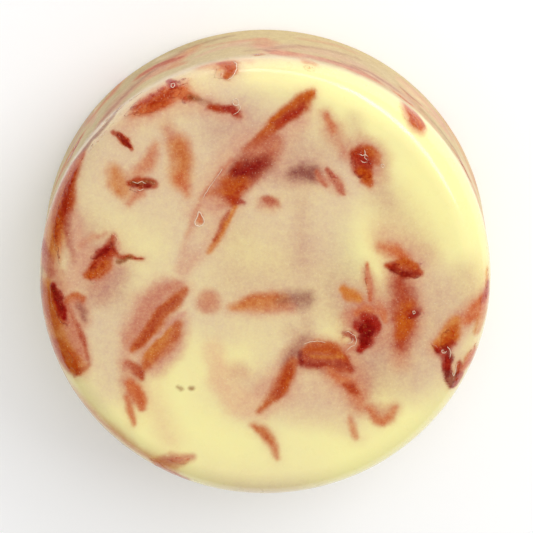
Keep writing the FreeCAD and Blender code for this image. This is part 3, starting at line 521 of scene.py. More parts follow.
    ("rose", 0.80, 4.74, [(-27.3, 4.7, 1.60), (-25.6, 2.7, 2.24), (-27.1, -0.6, 1.44)]),
    ("lilac", 0.80, 3.56, [(-27.8, -1.6, 0.96), (-25.2, 0.1, 1.28), (-22.9, 2.4, 0.96)]),
    ("rust", 0.92, 1.01, [
        (-24.2, 8.5, 0.32), (-24.6, 6.7, 0.80), (-25.5, 5.4, 1.20), (-26.9, 3.9, 1.04),
        (-28.0, 2.4, 0.64),
    ]),
    ("orange", 0.80, 1.01, [(-28.2, 2.1, 0.56), (-26.9, 2.7, 0.96), (-25.1, 3.9, 0.80)]),
    ("red", 0.75, 0.89, [(-26.8, 6.0, 0.26), (-25.4, 6.2, 0.64), (-24.3, 6.0, 0.48)]),
    ("dark_red", 0.60, 0.59, [(-27.0, 5.2, 0.19), (-25.7, 6.0, 0.29), (-24.2, 7.2, 0.19)]),
    ("rust", 0.85, 0.71, [(-24.6, 5.7, 0.38), (-23.2, 5.2, 0.38), (-21.9, 5.2, 0.29), (-19.7, 4.9, 0.14)]),
    ("brown", 0.70, 0.53, [(-23.5, 4.4, 0.16), (-22.5, 4.7, 0.26), (-21.4, 5.1, 0.16)]),
    ("amber", 0.92, 1.48, [
        (-36.3, -0.8, 2.31), (-34.8, -4.6, 3.03), (-33.1, -8.5, 3.41), (-31.6, -11.5, 2.43),
        (-30.7, -13.1, 1.61),
    ]),
    ("rose", 0.85, 1.78, [
        (-32.3, -3.9, 0.87), (-31.1, -6.6, 1.35), (-29.9, -9.6, 1.16), (-29.1, -11.7, 0.66),
    ]),
    ("orange", 0.90, 1.19, [(-34.1, -10.9, 2.02), (-32.1, -12.7, 2.08), (-30.7, -13.7, 1.03)]),
    ("orange", 0.80, 1.48, [(-36.7, -1.3, 1.44), (-35.2, -3.7, 2.02), (-34.1, -5.9, 1.40)]),
    ("red", 0.92, 0.77, [
        (-34.1, 0.4, 0.52), (-33.5, -1.3, 0.82), (-33.0, -3.3, 0.80), (-32.4, -5.1, 0.35),
    ]),
    ("dark_red", 0.60, 0.59, [(-34.0, 0.1, 0.27), (-33.5, -1.5, 0.48), (-32.8, -3.6, 0.25)]),
    ("rust", 0.55, 0.59, [
        (-32.0, -2.3, 0.17), (-30.8, -4.9, 0.25), (-29.5, -8.3, 0.23), (-28.5, -12.0, 0.16),
    ]),
    ("rust", 0.50, 0.59, [(-28.4, -12.7, 0.16), (-29.7, -13.9, 0.26), (-31.2, -15.1, 0.23)]),
    ("orange", 0.92, 1.01, [(-31.6, -1.9, 0.49), (-30.5, -1.6, 0.90), (-29.6, -1.9, 0.60)]),
    ("rose", 0.80, 2.37, [(-30.7, -2.6, 0.83), (-29.3, -4.1, 0.99), (-29.0, -5.8, 0.65)]),
    ("mauve", 0.55, 1.19, [(-30.1, -2.9, 0.33), (-29.1, -4.1, 0.49), (-29.0, -5.4, 0.26)]),
    # The large roll and the flakes below it.
    ("pink", 0.90, 3.26, [
        (-13.3, 0.3, 0.96), (-16.1, -0.4, 2.08), (-19.0, -3.4, 2.56), (-21.3, -7.6, 2.08),
        (-22.3, -11.3, 1.28),
    ]),
    ("rose", 0.80, 2.37, [
        (-14.3, 0.1, 0.96), (-16.9, -1.2, 1.44), (-19.5, -4.6, 1.60), (-21.5, -8.6, 1.28),
    ]),
    ("pink", 0.85, 2.67, [(-13.7, -5.6, 1.44), (-15.0, -9.6, 2.08), (-17.7, -13.0, 1.92)]),
    ("orange", 0.76, 1.48, [
        (-14.4, -6.1, 0.96), (-15.2, -7.6, 1.76), (-16.7, -9.3, 2.08), (-18.3, -11.3, 1.68),
        (-19.6, -13.2, 0.80),
    ]),
    ("amber", 0.60, 1.19, [(-15.7, -6.9, 0.64), (-17.0, -9.0, 0.96), (-18.6, -11.3, 0.80)]),
    ("orange", 0.80, 0.95, [
        (-12.8, -0.4, 0.38), (-14.0, -1.7, 0.87), (-15.9, -3.8, 0.96), (-18.2, -6.3, 0.96),
        (-20.0, -8.8, 0.87), (-21.2, -10.3, 0.48),
    ]),
    ("red", 0.28, 1.19, [
        (-14.3, -1.9, 0.22), (-16.6, -4.4, 0.42), (-18.9, -7.1, 0.42), (-20.5, -9.5, 0.22),
    ]),
    ("pink", 0.90, 0.59, [
        (-13.0, -4.1, 0.19), (-15.3, -5.8, 0.29), (-17.6, -8.3, 0.29), (-19.6, -10.8, 0.24),
        (-20.7, -12.4, 0.16),
    ]),
    ("rust", 0.90, 0.89, [
        (-22.4, -12.4, 0.38), (-21.4, -13.4, 0.74), (-20.4, -14.4, 0.77), (-20.0, -15.4, 0.32),
    ]),
    ("rose", 0.70, 2.08, [(-22.9, -12.7, 0.64), (-22.4, -15.4, 0.96), (-21.8, -18.5, 0.98)]),
    ("salmon", 0.92, 1.07, [
        (-21.9, -15.9, 0.64), (-21.0, -17.3, 1.12), (-20.2, -19.0, 0.90), (-19.9, -20.2, 0.43),
    ]),
    ("salmon", 0.85, 1.01, [(-22.5, -18.5, 0.39), (-22.0, -20.6, 0.56), (-21.6, -22.8, 0.30)]),
    ("brown", 0.60, 0.59, [(-14.2, -16.6, 0.13), (-13.7, -16.9, 0.16)]),
    ("brown", 0.70, 0.59, [(-12.0, -16.8, 0.16), (-11.6, -16.9, 0.22)]),
    # The lower middle of the face.
    ("peach", 0.90, 2.67, [
        (-8.3, -10.3, 1.28), (-7.3, -15.1, 1.92), (-4.7, -19.5, 2.08), (-1.5, -20.6, 1.76),
        (0.5, -19.2, 1.28),
    ]),
    ("pink", 0.70, 2.67, [(-4.4, -13.9, 1.44)]),
    ("pink", 0.75, 3.56, [(-3.4, -19.2, 1.44), (-0.8, -18.5, 1.60)]),
    ("pink", 0.85, 3.56, [(6.0, -9.6, 1.28), (4.0, -13.0, 1.92), (1.8, -16.8, 2.08), (-0.2, -20.2, 1.28)]),
    ("mauve", 0.48, 2.67, [(6.4, -8.6, 0.80), (5.2, -10.7, 1.12), (3.9, -13.0, 0.96)]),
    ("orange", 0.86, 1.30, [
        (4.8, -12.2, 0.64), (3.7, -14.1, 1.06), (2.4, -16.4, 1.09), (0.8, -18.8, 0.80),
        (-1.2, -21.1, 0.22),
    ]),
    ("rust", 0.50, 1.19, [(4.2, -13.5, 0.48), (2.7, -16.1, 0.71), (1.3, -18.2, 0.48)]),
    ("salmon", 0.72, 1.48, [
        (-2.1, -23.3, 0.32), (-0.5, -24.2, 0.80), (0.6, -25.6, 0.87), (1.5, -27.1, 0.58),
        (2.1, -28.9, 0.23),
    ]),
    ("orange", 0.42, 1.19, [(-1.5, -23.8, 0.32), (-0.2, -24.5, 0.48), (0.8, -25.7, 0.48)]),
    ("rose", 0.85, 1.30, [(-17.8, -30.2, 0.68), (-15.0, -29.3, 1.16), (-12.0, -28.5, 0.52)]),
    ("orange", 0.75, 0.89, [(-18.0, -31.6, 0.46), (-16.0, -32.7, 0.75), (-13.4, -34.2, 0.46)]),
    ("salmon", 0.72, 1.19, [(13.8, -21.8, 0.19), (14.4, -23.5, 0.51), (15.0, -25.2, 0.39)]),
    ("rose", 0.70, 2.37, [(17.3, -20.7, 0.96), (19.1, -21.4, 1.38), (20.8, -20.4, 0.86)]),
    ("salmon", 0.66, 1.19, [
        (16.9, -20.2, 0.26), (17.6, -21.6, 0.48), (18.9, -22.5, 0.59), (20.2, -21.8, 0.51),
        (21.0, -20.4, 0.27),
    ]),
    # The fold right of the middle.
    ("rose", 0.75, 3.56, [
        (5.3, -11.3, 1.28), (9.2, -10.3, 1.92), (13.1, -12.0, 2.08), (14.8, -16.4, 1.92),
        (15.1, -19.9, 1.28),
    ]),
    ("rust", 0.84, 1.30, [
        (6.1, -12.2, 0.71), (7.6, -11.5, 1.60), (9.7, -11.5, 2.08), (11.8, -12.2, 1.76),
        (13.3, -13.4, 0.80),
    ]),
    ("orange", 0.75, 1.19, [
        (6.6, -10.3, 0.48), (8.5, -9.6, 0.90), (10.8, -10.0, 0.90), (12.6, -11.0, 0.58),
    ]),
    ("red", 0.22, 2.37, [(6.9, -12.7, 0.80), (9.5, -13.2, 0.96), (12.1, -13.4, 0.71)]),
    ("dark_red", 0.16, 0.71, [
        (6.3, -12.2, 0.10), (8.6, -12.9, 0.16), (11.2, -13.0, 0.16), (13.1, -12.5, 0.10),
    ]),
    ("amber", 0.45, 0.71, [(7.6, -11.3, 0.16), (9.9, -11.7, 0.26), (12.4, -11.3, 0.16)]),
    ("dark_red", 0.55, 0.59, [(5.8, -10.8, 0.22), (6.0, -11.7, 0.35), (6.3, -12.7, 0.22)]),
    ("salmon", 0.74, 2.97, [
        (10.8, -14.4, 0.80), (13.0, -15.9, 1.12), (14.6, -17.8, 1.12), (15.6, -19.9, 0.48),
    ]),
    ("rust", 0.85, 1.01, [(12.7, -16.4, 0.38), (13.8, -17.0, 0.80), (14.8, -17.5, 0.48)]),
    ("salmon", 0.60, 0.89, [(10.5, -14.1, 0.26), (11.8, -15.1, 0.48), (13.1, -15.4, 0.26)]),
    # The dark red chunk and the shavings round it.
    ("rose", 0.60, 3.21, [(14.0, -5.6, 1.92), (16.2, -4.9, 2.89), (17.6, -8.0, 2.24)]),
    ("rose", 0.85, 2.67, [(14.3, -4.9, 1.28), (16.4, -3.6, 1.60), (19.3, -3.9, 1.28)]),
    ("salmon", 0.75, 1.01, [(14.8, -4.3, 0.48), (16.2, -3.4, 0.80), (18.0, -3.4, 0.48)]),
    ("red", 0.95, 1.01, [
        (14.8, -6.1, 0.80), (15.9, -6.3, 1.44), (16.9, -6.4, 1.52), (16.3, -8.5, 1.36),
        (15.5, -10.0, 0.74),
    ]),
    ("dark_red", 0.85, 0.89, [(15.6, -6.6, 0.64), (16.6, -6.6, 0.90), (16.0, -8.6, 0.74)]),
    ("red", 0.80, 0.89, [(15.9, -4.6, 0.64), (17.0, -5.1, 0.96), (17.7, -6.3, 0.64)]),
    ("salmon", 0.75, 0.77, [(18.3, -2.7, 0.38), (19.0, -4.1, 0.58), (19.3, -5.4, 0.32)]),
    ("red", 0.80, 0.59, [(12.7, -7.4, 0.26), (13.7, -7.6, 0.45), (14.5, -8.5, 0.38)]),
    ("rose", 0.85, 1.01, [(12.9, -10.3, 0.38), (13.9, -9.8, 0.64), (14.7, -9.1, 0.38)]),
    ("amber", 0.92, 0.89, [(12.6, -0.1, 0.48), (13.6, -1.2, 1.03), (14.9, -1.7, 0.74)]),
    ("salmon", 0.92, 0.53, [(16.3, 4.1, 0.19), (16.5, 1.4, 0.35), (16.8, -1.7, 0.26)]),
    ("rose", 0.60, 1.78, [(16.1, 3.1, 0.64), (17.1, -0.2, 0.80), (18.1, -2.9, 0.80)]),
    # The upright band at the right.
    ("rose", 0.85, 4.15, [(21.3, 1.1, 1.92), (22.3, -3.6, 2.56), (22.1, -8.0, 2.24), (21.8, -12.0, 1.28)]),
    ("rust", 0.84, 2.67, [(21.4, 1.1, 1.19), (22.3, -1.9, 1.60), (22.4, -5.6, 1.76), (22.0, -9.6, 1.28)]),
    ("orange", 0.92, 1.48, [(23.1, -2.9, 1.03), (22.4, -5.6, 1.38), (21.6, -8.0, 0.80)]),
    ("red", 0.66, 0.89, [(23.0, -4.4, 0.48), (24.1, -3.9, 0.71), (25.1, -3.3, 0.35)]),
    ("mauve", 0.45, 3.56, [(21.3, -0.2, 1.12), (23.2, -1.2, 0.96), (23.6, -4.9, 0.64)]),
    ("dark_red", 0.60, 0.53, [(23.3, -4.6, 0.26), (24.6, -3.9, 0.32)]),
    ("salmon", 0.90, 2.08, [(18.6, 7.0, 0.64), (20.4, 6.0, 1.12), (22.0, 4.9, 0.96)]),
    ("rust", 0.94, 0.77, [
        (19.6, 3.6, 0.32), (20.9, 3.4, 0.96), (22.2, 3.2, 1.52), (23.5, 2.9, 1.22),
        (24.8, 2.4, 0.48),
    ]),
    ("dark_red", 0.55, 0.89, [(20.3, 2.9, 0.22), (22.2, 2.2, 0.54), (24.0, 2.1, 0.35)]),
    ("orange", 0.65, 0.89, [(21.2, 4.2, 0.32), (22.2, 4.4, 0.54), (23.6, 3.6, 0.48)]),
    # The crisp chunk at the upper right.
    ("rose", 0.80, 4.74, [(15.6, 23.0, 1.28), (17.0, 21.5, 1.92), (17.2, 19.1, 1.44)]),
    ("rust", 0.92, 0.89, [(14.5, 21.8, 0.80), (15.1, 21.5, 1.54), (15.3, 20.1, 1.67), (15.8, 18.4, 0.96)]),
    ("orange", 0.50, 1.19, [(14.0, 22.3, 0.64), (15.2, 22.6, 0.80), (16.2, 21.7, 0.64)]),
    ("red", 0.66, 1.48, [(14.5, 22.2, 0.64), (15.1, 21.0, 1.06), (15.4, 19.6, 0.80)]),
    ("orange", 0.80, 0.77, [(15.1, 19.3, 0.64), (15.9, 18.3, 0.96), (16.6, 17.2, 0.48)]),
    ("orange", 0.70, 0.77, [(16.2, 22.8, 0.45), (17.3, 21.7, 0.58), (17.5, 20.5, 0.38)]),
    ("rose", 0.85, 1.78, [(23.4, 30.3, 0.87), (24.2, 28.8, 2.02), (24.7, 26.7, 1.57)]),
    ("orange", 0.88, 0.77, [
        (24.0, 30.9, 0.58), (24.3, 29.5, 1.27), (24.9, 27.7, 1.56), (24.9, 26.4, 0.55),
    ]),
    # The hooked shaving and the flakes at the right of the rim.
    ("rose", 0.85, 3.26, [
        (27.8, -9.6, 1.00), (29.2, -8.0, 1.50), (30.9, -6.3, 1.35), (33.4, -4.0, 1.55),
        (36.4, -2.2, 1.73),
    ]),
    ("amber", 0.92, 1.07, [(27.4, -9.5, 0.50), (28.9, -8.3, 1.18), (30.1, -7.3, 1.43), (30.6, -5.8, 1.05)]),
    ("orange", 0.80, 0.89, [
        (27.9, -9.6, 0.40), (29.2, -8.8, 0.84), (30.5, -8.0, 0.90), (30.8, -6.6, 0.49),
    ]),
    ("red", 0.70, 0.71, [(27.6, -10.0, 0.27), (28.9, -9.8, 0.44), (30.2, -9.1, 0.41)]),
    ("dark_red", 0.85, 0.59, [
        (29.2, -10.0, 0.39), (29.6, -11.3, 0.58), (29.5, -13.4, 0.56), (29.9, -15.2, 0.66),
        (31.0, -16.4, 0.97), (31.6, -15.0, 0.63),
    ]),
    ("red", 0.80, 0.59, [(27.9, -10.3, 0.26), (28.9, -11.3, 0.42), (29.6, -13.1, 0.39)]),
    ("rust", 0.85, 0.59, [(31.8, -16.9, 0.58), (32.4, -15.5, 0.69), (31.5, -12.7, 0.29)]),
    ("salmon", 0.85, 1.48, [(32.7, -5.2, 0.92), (34.1, -3.8, 1.36), (36.4, -2.2, 1.33)]),
    ("red", 0.60, 0.89, [(35.8, -2.4, 0.46), (36.6, -1.2, 0.75), (36.8, 0.1, 0.46)]),
    ("salmon", 0.85, 1.01, [(32.9, -13.9, 0.69), (33.9, -12.6, 1.33), (35.0, -11.5, 0.69)]),
    ("amber", 0.65, 1.19, [(34.9, -7.5, 0.87), (35.7, -5.9, 1.27), (36.8, -4.8, 0.69)]),
    # Painted shade along the left and lower left of the rim, the side away from the light: a thin brown edge
    # and an amber band.
    ("brown", 0.60, 0.89, [
        (-37.3, 2.7, 0.40), (-38.1, -6.8, 0.15), (-36.1, -13.3, 0.15), (-32.9, -19.6, 0.35),
        (-27.6, -25.7, 0.35), (-21.5, -31.2, 0.35), (-16.2, -34.1, 0.15), (-10.4, -36.3, 0.13),
    ]),
    ("amber", 0.62, 2.67, [
        (-37.7, -8.6, 0.87), (-34.4, -17.0, 0.74), (-27.8, -22.9, 0.87), (-21.5, -28.3, 0.87),
        (-15.5, -31.7, 0.58),
    ]),
]

# Strokes on the far side of the wall, made the same way: places are distance round it and height.
FAR_WALL_STROKES = [
    ("rose", 0.50, 3.75, [(89.8, 26.3, 1.15), (85.7, 15.4, 1.54), (80.0, 10.3, 1.92), (73.0, 7.2, 1.54)]),
    ("rose", 0.60, 2.92, [
        (91.7, 26.5, 0.77), (87.4, 18.2, 1.31), (81.9, 14.3, 1.54),
        (76.2, 11.6, 1.31), (70.5, 9.7, 0.77),
    ]),
    # Painted shade: broad khaki over the left part of the far wall.
    ("khaki", 0.55, 6.25, [
        (91.7, 26.5, 3.08), (86.5, 17.3, 3.85), (80.9, 6.6, 3.85),
        (74.5, 2.8, 3.46), (69.2, 3.9, 1.92),
    ]),
    # Painted shade: khaki over the right part of the far wall.
    ("khaki", 0.60, 3.33, [(31.3, 15.6, 1.54), (24.5, 16.9, 1.69), (18.0, 23.2, 1.38)]),
    ("lilac", 0.55, 3.75, [
        (63.2, 11.3, 1.15), (58.0, 14.2, 1.54), (52.0, 13.1, 1.92), (45.2, 12.5, 1.92),
        (39.0, 15.2, 2.31), (33.0, 16.3, 1.92),
    ]),
    ("mauve", 0.34, 1.88, [
        (60.9, 16.8, 0.23), (56.8, 14.8, 0.35), (52.8, 11.5, 0.35),
        (47.7, 10.2, 0.35), (42.8, 8.4, 0.23),
    ]),
    ("mauve", 0.42, 1.88, [(45.3, 15.5, 0.27), (40.4, 14.8, 0.42), (35.5, 15.6, 0.38)]),
    ("red", 0.55, 1.04, [(34.9, 11.3, 0.23), (32.9, 12.3, 0.42), (30.6, 11.7, 0.23)]),
    ("mauve", 0.70, 0.83, [(58.3, 16.8, 0.31), (57.5, 17.5, 0.42), (56.8, 17.0, 0.23)]),
    ("rose", 0.55, 2.08, [(68.2, 8.4, 0.38), (63.8, 8.6, 0.62), (58.9, 8.1, 0.46)]),
    ("rose", 0.40, 2.08, [(52.7, 6.1, 0.31), (47.7, 4.7, 0.46), (43.1, 4.4, 0.38)]),
    ("brown", 0.45, 2.08, [(89.2, 20.3, 0.46), (84.4, 15.6, 0.62), (78.1, 10.5, 0.54), (72.3, 6.9, 0.38)]),
    ("brown", 0.30, 1.25, [(72.7, 5.5, 0.31), (68.4, 5.0, 0.42), (63.9, 4.0, 0.31)]),
    # Painted shade: a thin dark line along the right part of the far wall, where it is in shadow.
    ("mauve", 0.45, 1.88, [(28.0, 15.8, 0.31), (21.4, 14.8, 0.42), (15.4, 20.3, 0.31)]),
]


def to_linear(colour):
    """An 8-bit screen colour as linear light."""
    channels = np.asarray(colour) / 255
    return np.where(channels < 0.04045, channels / 12.92, ((channels + 0.055) / 1.055) ** 2.4)


def absorbed(colour):
    """What turns the untinted soap into this colour, per channel."""
    return -np.log(to_linear(colour) / to_linear(CREAM))


def smooth_step(share):
    share = np.clip(share, 0, 1)
    return share * share * (3 - 2 * share)


def flattened(points):
    """Places on the skin laid out flat from the middle of the face: over the rim, then down the wall."""
    radius = np.hypot(points[:, 0], points[:, 1])
    out = radius - RIM_CENTRE[0]
    up = points[:, 2] - RIM_CENTRE[1]
    wall_top = RIM_CENTRE[1] + RIM_FILLET * math.sin(DRAFT)
    rim_length = RIM_FILLET * (math.pi / 2 - DRAFT)
    over_rim = RIM_CENTRE[0] + RIM_FILLET * np.arctan2(out, np.maximum(up, 1e-6))
    down_wall = RIM_CENTRE[0] + rim_length + (wall_top - points[:, 2]) / math.cos(DRAFT)
    length = np.where(out <= 0, radius, np.where(up > out * math.tan(DRAFT), over_rim, down_wall))
    return points[:, :2] * (length / np.maximum(radius, 1e-6))[:, None]


# The face's strokes end this far below it, unevenly, and fade out over this height.
FACE_REACH = 7.4
FACE_FADE = 2.6
FACE_EDGE_SIZE = 2.4
FACE_EDGE_DEPTH = 1.5


def on_face(points):
    """1 on the face and its rim, fading unevenly to 0 down the top of the wall."""
    low_edge = HEIGHT - FACE_REACH + FACE_EDGE_DEPTH * lattice_noise(points, FACE_EDGE_SIZE, 31)
    return smooth_step((points[:, 2] - low_edge) / FACE_FADE)


# Streaks along a stroke; the softest strokes have none.
STREAK_WIDTH = 0.75
STREAK_LENGTH = 3.2
STREAK_DEPTH = 0.16
STREAK_OFFSET = 0.2
STREAK_LIMIT = 1.15
SOFTEST_STREAKED = 3.0


def stroke_cover(places, softness, path):
    """How much of a stroke covers each place, with streaks that run along it."""
    path = np.array(path)
    nearest = np.full(len(places), 1e9)
    along = np.zeros(len(places))
    across = np.zeros(len(places))
    travelled = 0.0
    starts = path[:-1] if len(path) > 1 else path
    ends = path[1:] if len(path) > 1 else path
    for start, end in zip(starts, ends):
        step = end[:2] - start[:2]
        length = max(np.hypot(*step), 1e-6)
        offset = places - start[:2]
        share = np.clip((offset @ step) / length ** 2, 0, 1)
        gap = np.hypot(*(offset - share[:, None] * step).T)
        edge = gap - (start[2] + share * (end[2] - start[2]))
        closer = edge < nearest
        nearest = np.where(closer, edge, nearest)
        along = np.where(closer, travelled + share * length, along)
        side = (offset[:, 0] * step[1] - offset[:, 1] * step[0]) / length
        across = np.where(closer, side, across)
        travelled += length
    cover = smooth_step(0.5 - nearest / softness)
    if softness > SOFTEST_STREAKED:
        return cover
    own = float(int(abs(path[0, 0] * 131 + path[0, 1] * 17)) % 97)
    grain = np.column_stack([across / STREAK_WIDTH, along / STREAK_LENGTH, np.full(len(places), own)])
    streaks = lattice_noise(grain, 1.0, 51)
    return cover * np.clip(1 + STREAK_DEPTH * (streaks - STREAK_OFFSET), 0, STREAK_LIMIT)


# How edges waver, from coarse to fine: the size of the waves, how far they move a place, and their seed.
WAVERS = ((3.4, 0.30, 41), (1.2, 0.17, 43), (0.5, 0.08, 45))


def wavered(places, points):
    """Places moved about a little, so that nothing laid over them has a drawn edge."""
    for size, amount, seed in WAVERS:
        places = places + amount * np.column_stack([
            lattice_noise(points, size, seed), lattice_noise(points, size, seed + 1),
        ])
    return places


# Every coloured shaving stains the pale soap close round it.
HALO_CASTERS = ("orange", "rust", "red", "dark_red", "amber", "salmon", "mauve")
HALO_DYE = "pink"
HALO_STRENGTH = 0.46
HALO_REACH = 0.5
HALO_SOFTNESS = 2.2
# A stroke softer than this is a cast of colour, laid first; the others are shapes, laid firmer and wider.
CAST_SOFTNESS = 3.2
FIRMER = 0.75
WIDER = 0.13


def laid_over(places, kept, strokes):
    """The light the soap keeps at these places once every stroke is laid over it, in order."""
    kept = kept.copy()
    halos = [(HALO_DYE, HALO_STRENGTH * stroke[1], stroke[2] + HALO_SOFTNESS, stroke[3], HALO_REACH)
             for stroke in strokes if stroke[0] in HALO_CASTERS]
    casts = [tuple(stroke) + (0.0,) for stroke in strokes if stroke[2] > CAST_SOFTNESS]
    shapes = [(dye, 1 - FIRMER * (1 - strength), softness, path, WIDER)
              for dye, strength, softness, path in strokes if softness <= CAST_SOFTNESS]
    for dye, strength, softness, path, wider in casts + halos + shapes:
        spots = np.array(path) + (0, 0, wider)
        reach = spots[:, 2].max() + softness
        near = np.flatnonzero(
            (places[:, 0] > spots[:, 0].min() - reach) & (places[:, 0] < spots[:, 0].max() + reach)
            & (places[:, 1] > spots[:, 1].min() - reach) & (places[:, 1] < spots[:, 1].max() + reach)
        )
        if len(near):
            cover = np.clip(strength * stroke_cover(places[near], softness, spots), 0, 1)[:, None]
            kept[near] = kept[near] * (1 - cover) + np.exp(-absorbed(DYES[dye])) * cover
    return kept


def painted(points, tint):
    """The tint with every stroke of the face laid over it."""
    shown = on_face(points)
    seen = np.flatnonzero(shown > 0)
    kept = np.exp(-tint[seen])
    places = wavered(flattened(points[seen]), points[seen])
    layer = -np.log(laid_over(places, kept, DYE_STROKES))
    result = tint.copy()
    result[seen] += (layer - tint[seen]) * shown[seen][:, None]
    return result


WALL_RADIUS = 37.2


def unrolled(points):
    """Places on the wall: distance round it and height."""
    return np.column_stack([np.arctan2(points[:, 1], points[:, 0]) * WALL_RADIUS, points[:, 2]])


EDGE_POINTS = 6


def loose_solids(cad):
    """Points along the edges of each separate solid of a CAD node, in millimetres."""
    corners = np.array([v.co for v in cad.data.vertices]) / MM
    welded = np.unique(np.round(corners, 3), axis=0, return_inverse=True)[1].ravel()
    group = np.arange(welded.max() + 1)
    edges = welded[np.array([tuple(e.vertices) for e in cad.data.edges])]
    changed = True
    while changed:
        lowest = np.minimum(group[edges[:, 0]], group[edges[:, 1]])
        before = group.copy()
        np.minimum.at(group, edges[:, 0], lowest)
        np.minimum.at(group, edges[:, 1], lowest)
        group = group[group]
        changed = bool((group != before).any())
    ends = corners[np.array([tuple(e.vertices) for e in cad.data.edges])]
    steps = np.linspace(0, 1, EDGE_POINTS)[:, None, None]
    along = ends[None, :, 0] * (1 - steps) + ends[None, :, 1] * steps
    labels = np.tile(group[edges[:, 0]], len(steps))
    along = along.reshape(-1, 3)
    return [along[labels == label] for label in np.unique(labels)]


STROKE_PARTS = 5


def stroke_from_solid(places):
    """The path and half widths of a stroke that covers a solid's outline."""
    middle = places.mean(axis=0)
    main = np.linalg.eigh(np.cov((places - middle).T))[1][:, 1]
    across = np.array([-main[1], main[0]])
    u = (places - middle) @ main
    v = (places - middle) @ across
    bounds = np.linspace(u.min(), u.max(), STROKE_PARTS + 1)
    path = []
    for low, high in zip(bounds, bounds[1:]):
        inside = (u >= low) & (u <= high)
        if inside.sum() < 2:
            continue
        half = (v[inside].max() - v[inside].min()) / 2
        centre = middle + main * (low + high) / 2 + across * (v[inside].max() + v[inside].min()) / 2
        path.append((centre[0], centre[1], half))
    return path


SLOT_DYES = {
    "rust_shaving": ("rust", "red", "orange"),
    "amber_shaving": ("amber", "orange", "salmon"),
    "mauve_shaving": ("mauve", "rose", "lilac"),
}


def side_of(solid):
    """The skin that a solid lies closest to."""
    centre = solid.mean(axis=0)
    to_wall = (BASE_RADIUS - SLOPE * centre[2] - np.hypot(*centre[:2])) * math.cos(DRAFT)
    distances = {"wall": to_wall, "under": centre[2], "face": HEIGHT - centre[2]}
    return min(distances, key=distances.get)


def ragged(rng, path):
    """The same path, unevenly bent and as unevenly wide as a torn shaving."""
    return [(x + rng.normal(0, 0.22 * w + 0.1), y + rng.normal(0, 0.22 * w + 0.1), w * rng.uniform(0.5, 1.15))
            for x, y, w in path]


def strokes_over(rng, slot, solid, places):
    """A shaving in one dye, paler and softer the deeper it lies, a fold in a second, an edge in a third."""
    path = ragged(rng, stroke_from_solid(places))
    below = max(0.0, depth_below_skin(solid)[0].min())
    dye, second, third = rng.permutation(SLOT_DYES[slot])
    strength = max(0.45, 1.0 - 0.2 * below)
    softness = 1.0 + 1.3 * below
    fold = [(x, y, w * 0.45) for x, y, w in ragged(rng, path)[1:-1]] or path
    edge = [(x, y - w * 0.7, w * 0.25) for x, y, w in path[2:]] or path
    return [(dye, strength, softness, path), (second, 0.55, softness, fold), (third, 0.4, softness, edge)]


FAINT_DYES = ("beige", "peach", "pink", "rose", "lilac", "amber", "salmon")
# How many faint stains there are, and the span they lie in, across and upward.
FAINT_ON_WALL = (70, (-math.pi * WALL_RADIUS, math.pi * WALL_RADIUS), (2.0, 24.0))
FAINT_UNDER = (44, (-33.0, 33.0), (-33.0, 33.0))


def faint_strokes(rng, count, across, upward):
    """Broad, barely seen stains of shavings that lie deep."""
    strokes = []
    for number in range(count):
        x = rng.uniform(*across)
        y = rng.uniform(*upward)
        heading = rng.uniform(0, math.pi)
        length = rng.uniform(1.5, 5.5)
        bend = rng.uniform(-0.35, 0.35) * length
        step = np.array([math.cos(heading), math.sin(heading)]) * length
        side = np.array([-step[1], step[0]]) / length * bend
        half = rng.uniform(0.6, 2.4)
        path = [(x - step[0], y - step[1], half * 0.6), (x + side[0], y + side[1], half),
                (x + step[0], y + step[1], half * 0.5)]
        dye = FAINT_DYES[number % len(FAINT_DYES)]
        strokes.append((dye, rng.uniform(0.35, 0.75), rng.uniform(1.6, 4.5), path))
    return strokes


def hidden_strokes():
    """Strokes for the wall and the underside, over the shavings that lie under them."""
    rng = np.random.default_rng(77)
    wall = []
    under = []
    for name in sorted(frame["nodes"]):
        if name == "soap_base":
            continue
        for solid in loose_solids(frame["nodes"][name]):
            side = side_of(solid)
            if side == "wall":
                wall += strokes_over(rng, SLOT_OF[name], solid, unrolled(solid))
            elif side == "under":
                under += strokes_over(rng, SLOT_OF[name], solid, solid[:, :2])
    casts_wall = faint_strokes(rng, *FAINT_ON_WALL)
    casts_under = faint_strokes(rng, *FAINT_UNDER)
    return casts_wall + FAR_WALL_STROKES + wall, casts_under + under


def painted_hidden(points, outward, tint):
    """The tint with the wall's and the underside's strokes laid over it."""
    wall_strokes, under_strokes = hidden_strokes()
    away = 1 - on_face(points)
    result = tint.copy()
    downward = smooth_step((-outward[:, 2] - 0.5) / 0.3)
    for strokes, share, flat in (
        (wall_strokes, away * (1 - downward), unrolled(points)),
        (under_strokes, away * downward, points[:, :2]),
    ):
        seen = np.flatnonzero(share > 0)
        kept = np.exp(-result[seen])
        places = wavered(flat[seen], points[seen])
        layer = -np.log(laid_over(places, kept, strokes))
        result[seen] += (layer - result[seen]) * share[seen][:, None]
    return result


PAINTED_WALL_SHADE = (238, 222, 156)
PAINTED_FAR_SHADE = (208, 190, 130)
# The wall's painted shade starts this far below the face and is full over this height.
WALL_SHADE_START = 1.5
WALL_SHADE_HEIGHT = 5.0


def painted_wall_shade(points):
    """Painted shade: the wall is painted darker than the face, most of all on its far side."""
    wall = smooth_step((HEIGHT - WALL_SHADE_START - points[:, 2]) / WALL_SHADE_HEIGHT)
    far = smooth_step(points[:, 1] / BASE_RADIUS + 0.25)
    shade = absorbed(PAINTED_WALL_SHADE) + far[:, None] * absorbed(PAINTED_FAR_SHADE)
    return wall[:, None] * shade


# How much of the stain worked out from the shavings' depth shows beside the strokes.
DEEP_SHARE = 0.25


def full_tint(points):
    """All that colours the soap at these points of its skin, the painted wall shade among it."""
    outward = depth_below_skin(points)[1]
    tint = soap_tint(points) * DEEP_SHARE + painted_wall_shade(points)
    return painted(points, painted_hidden(points, outward, tint))
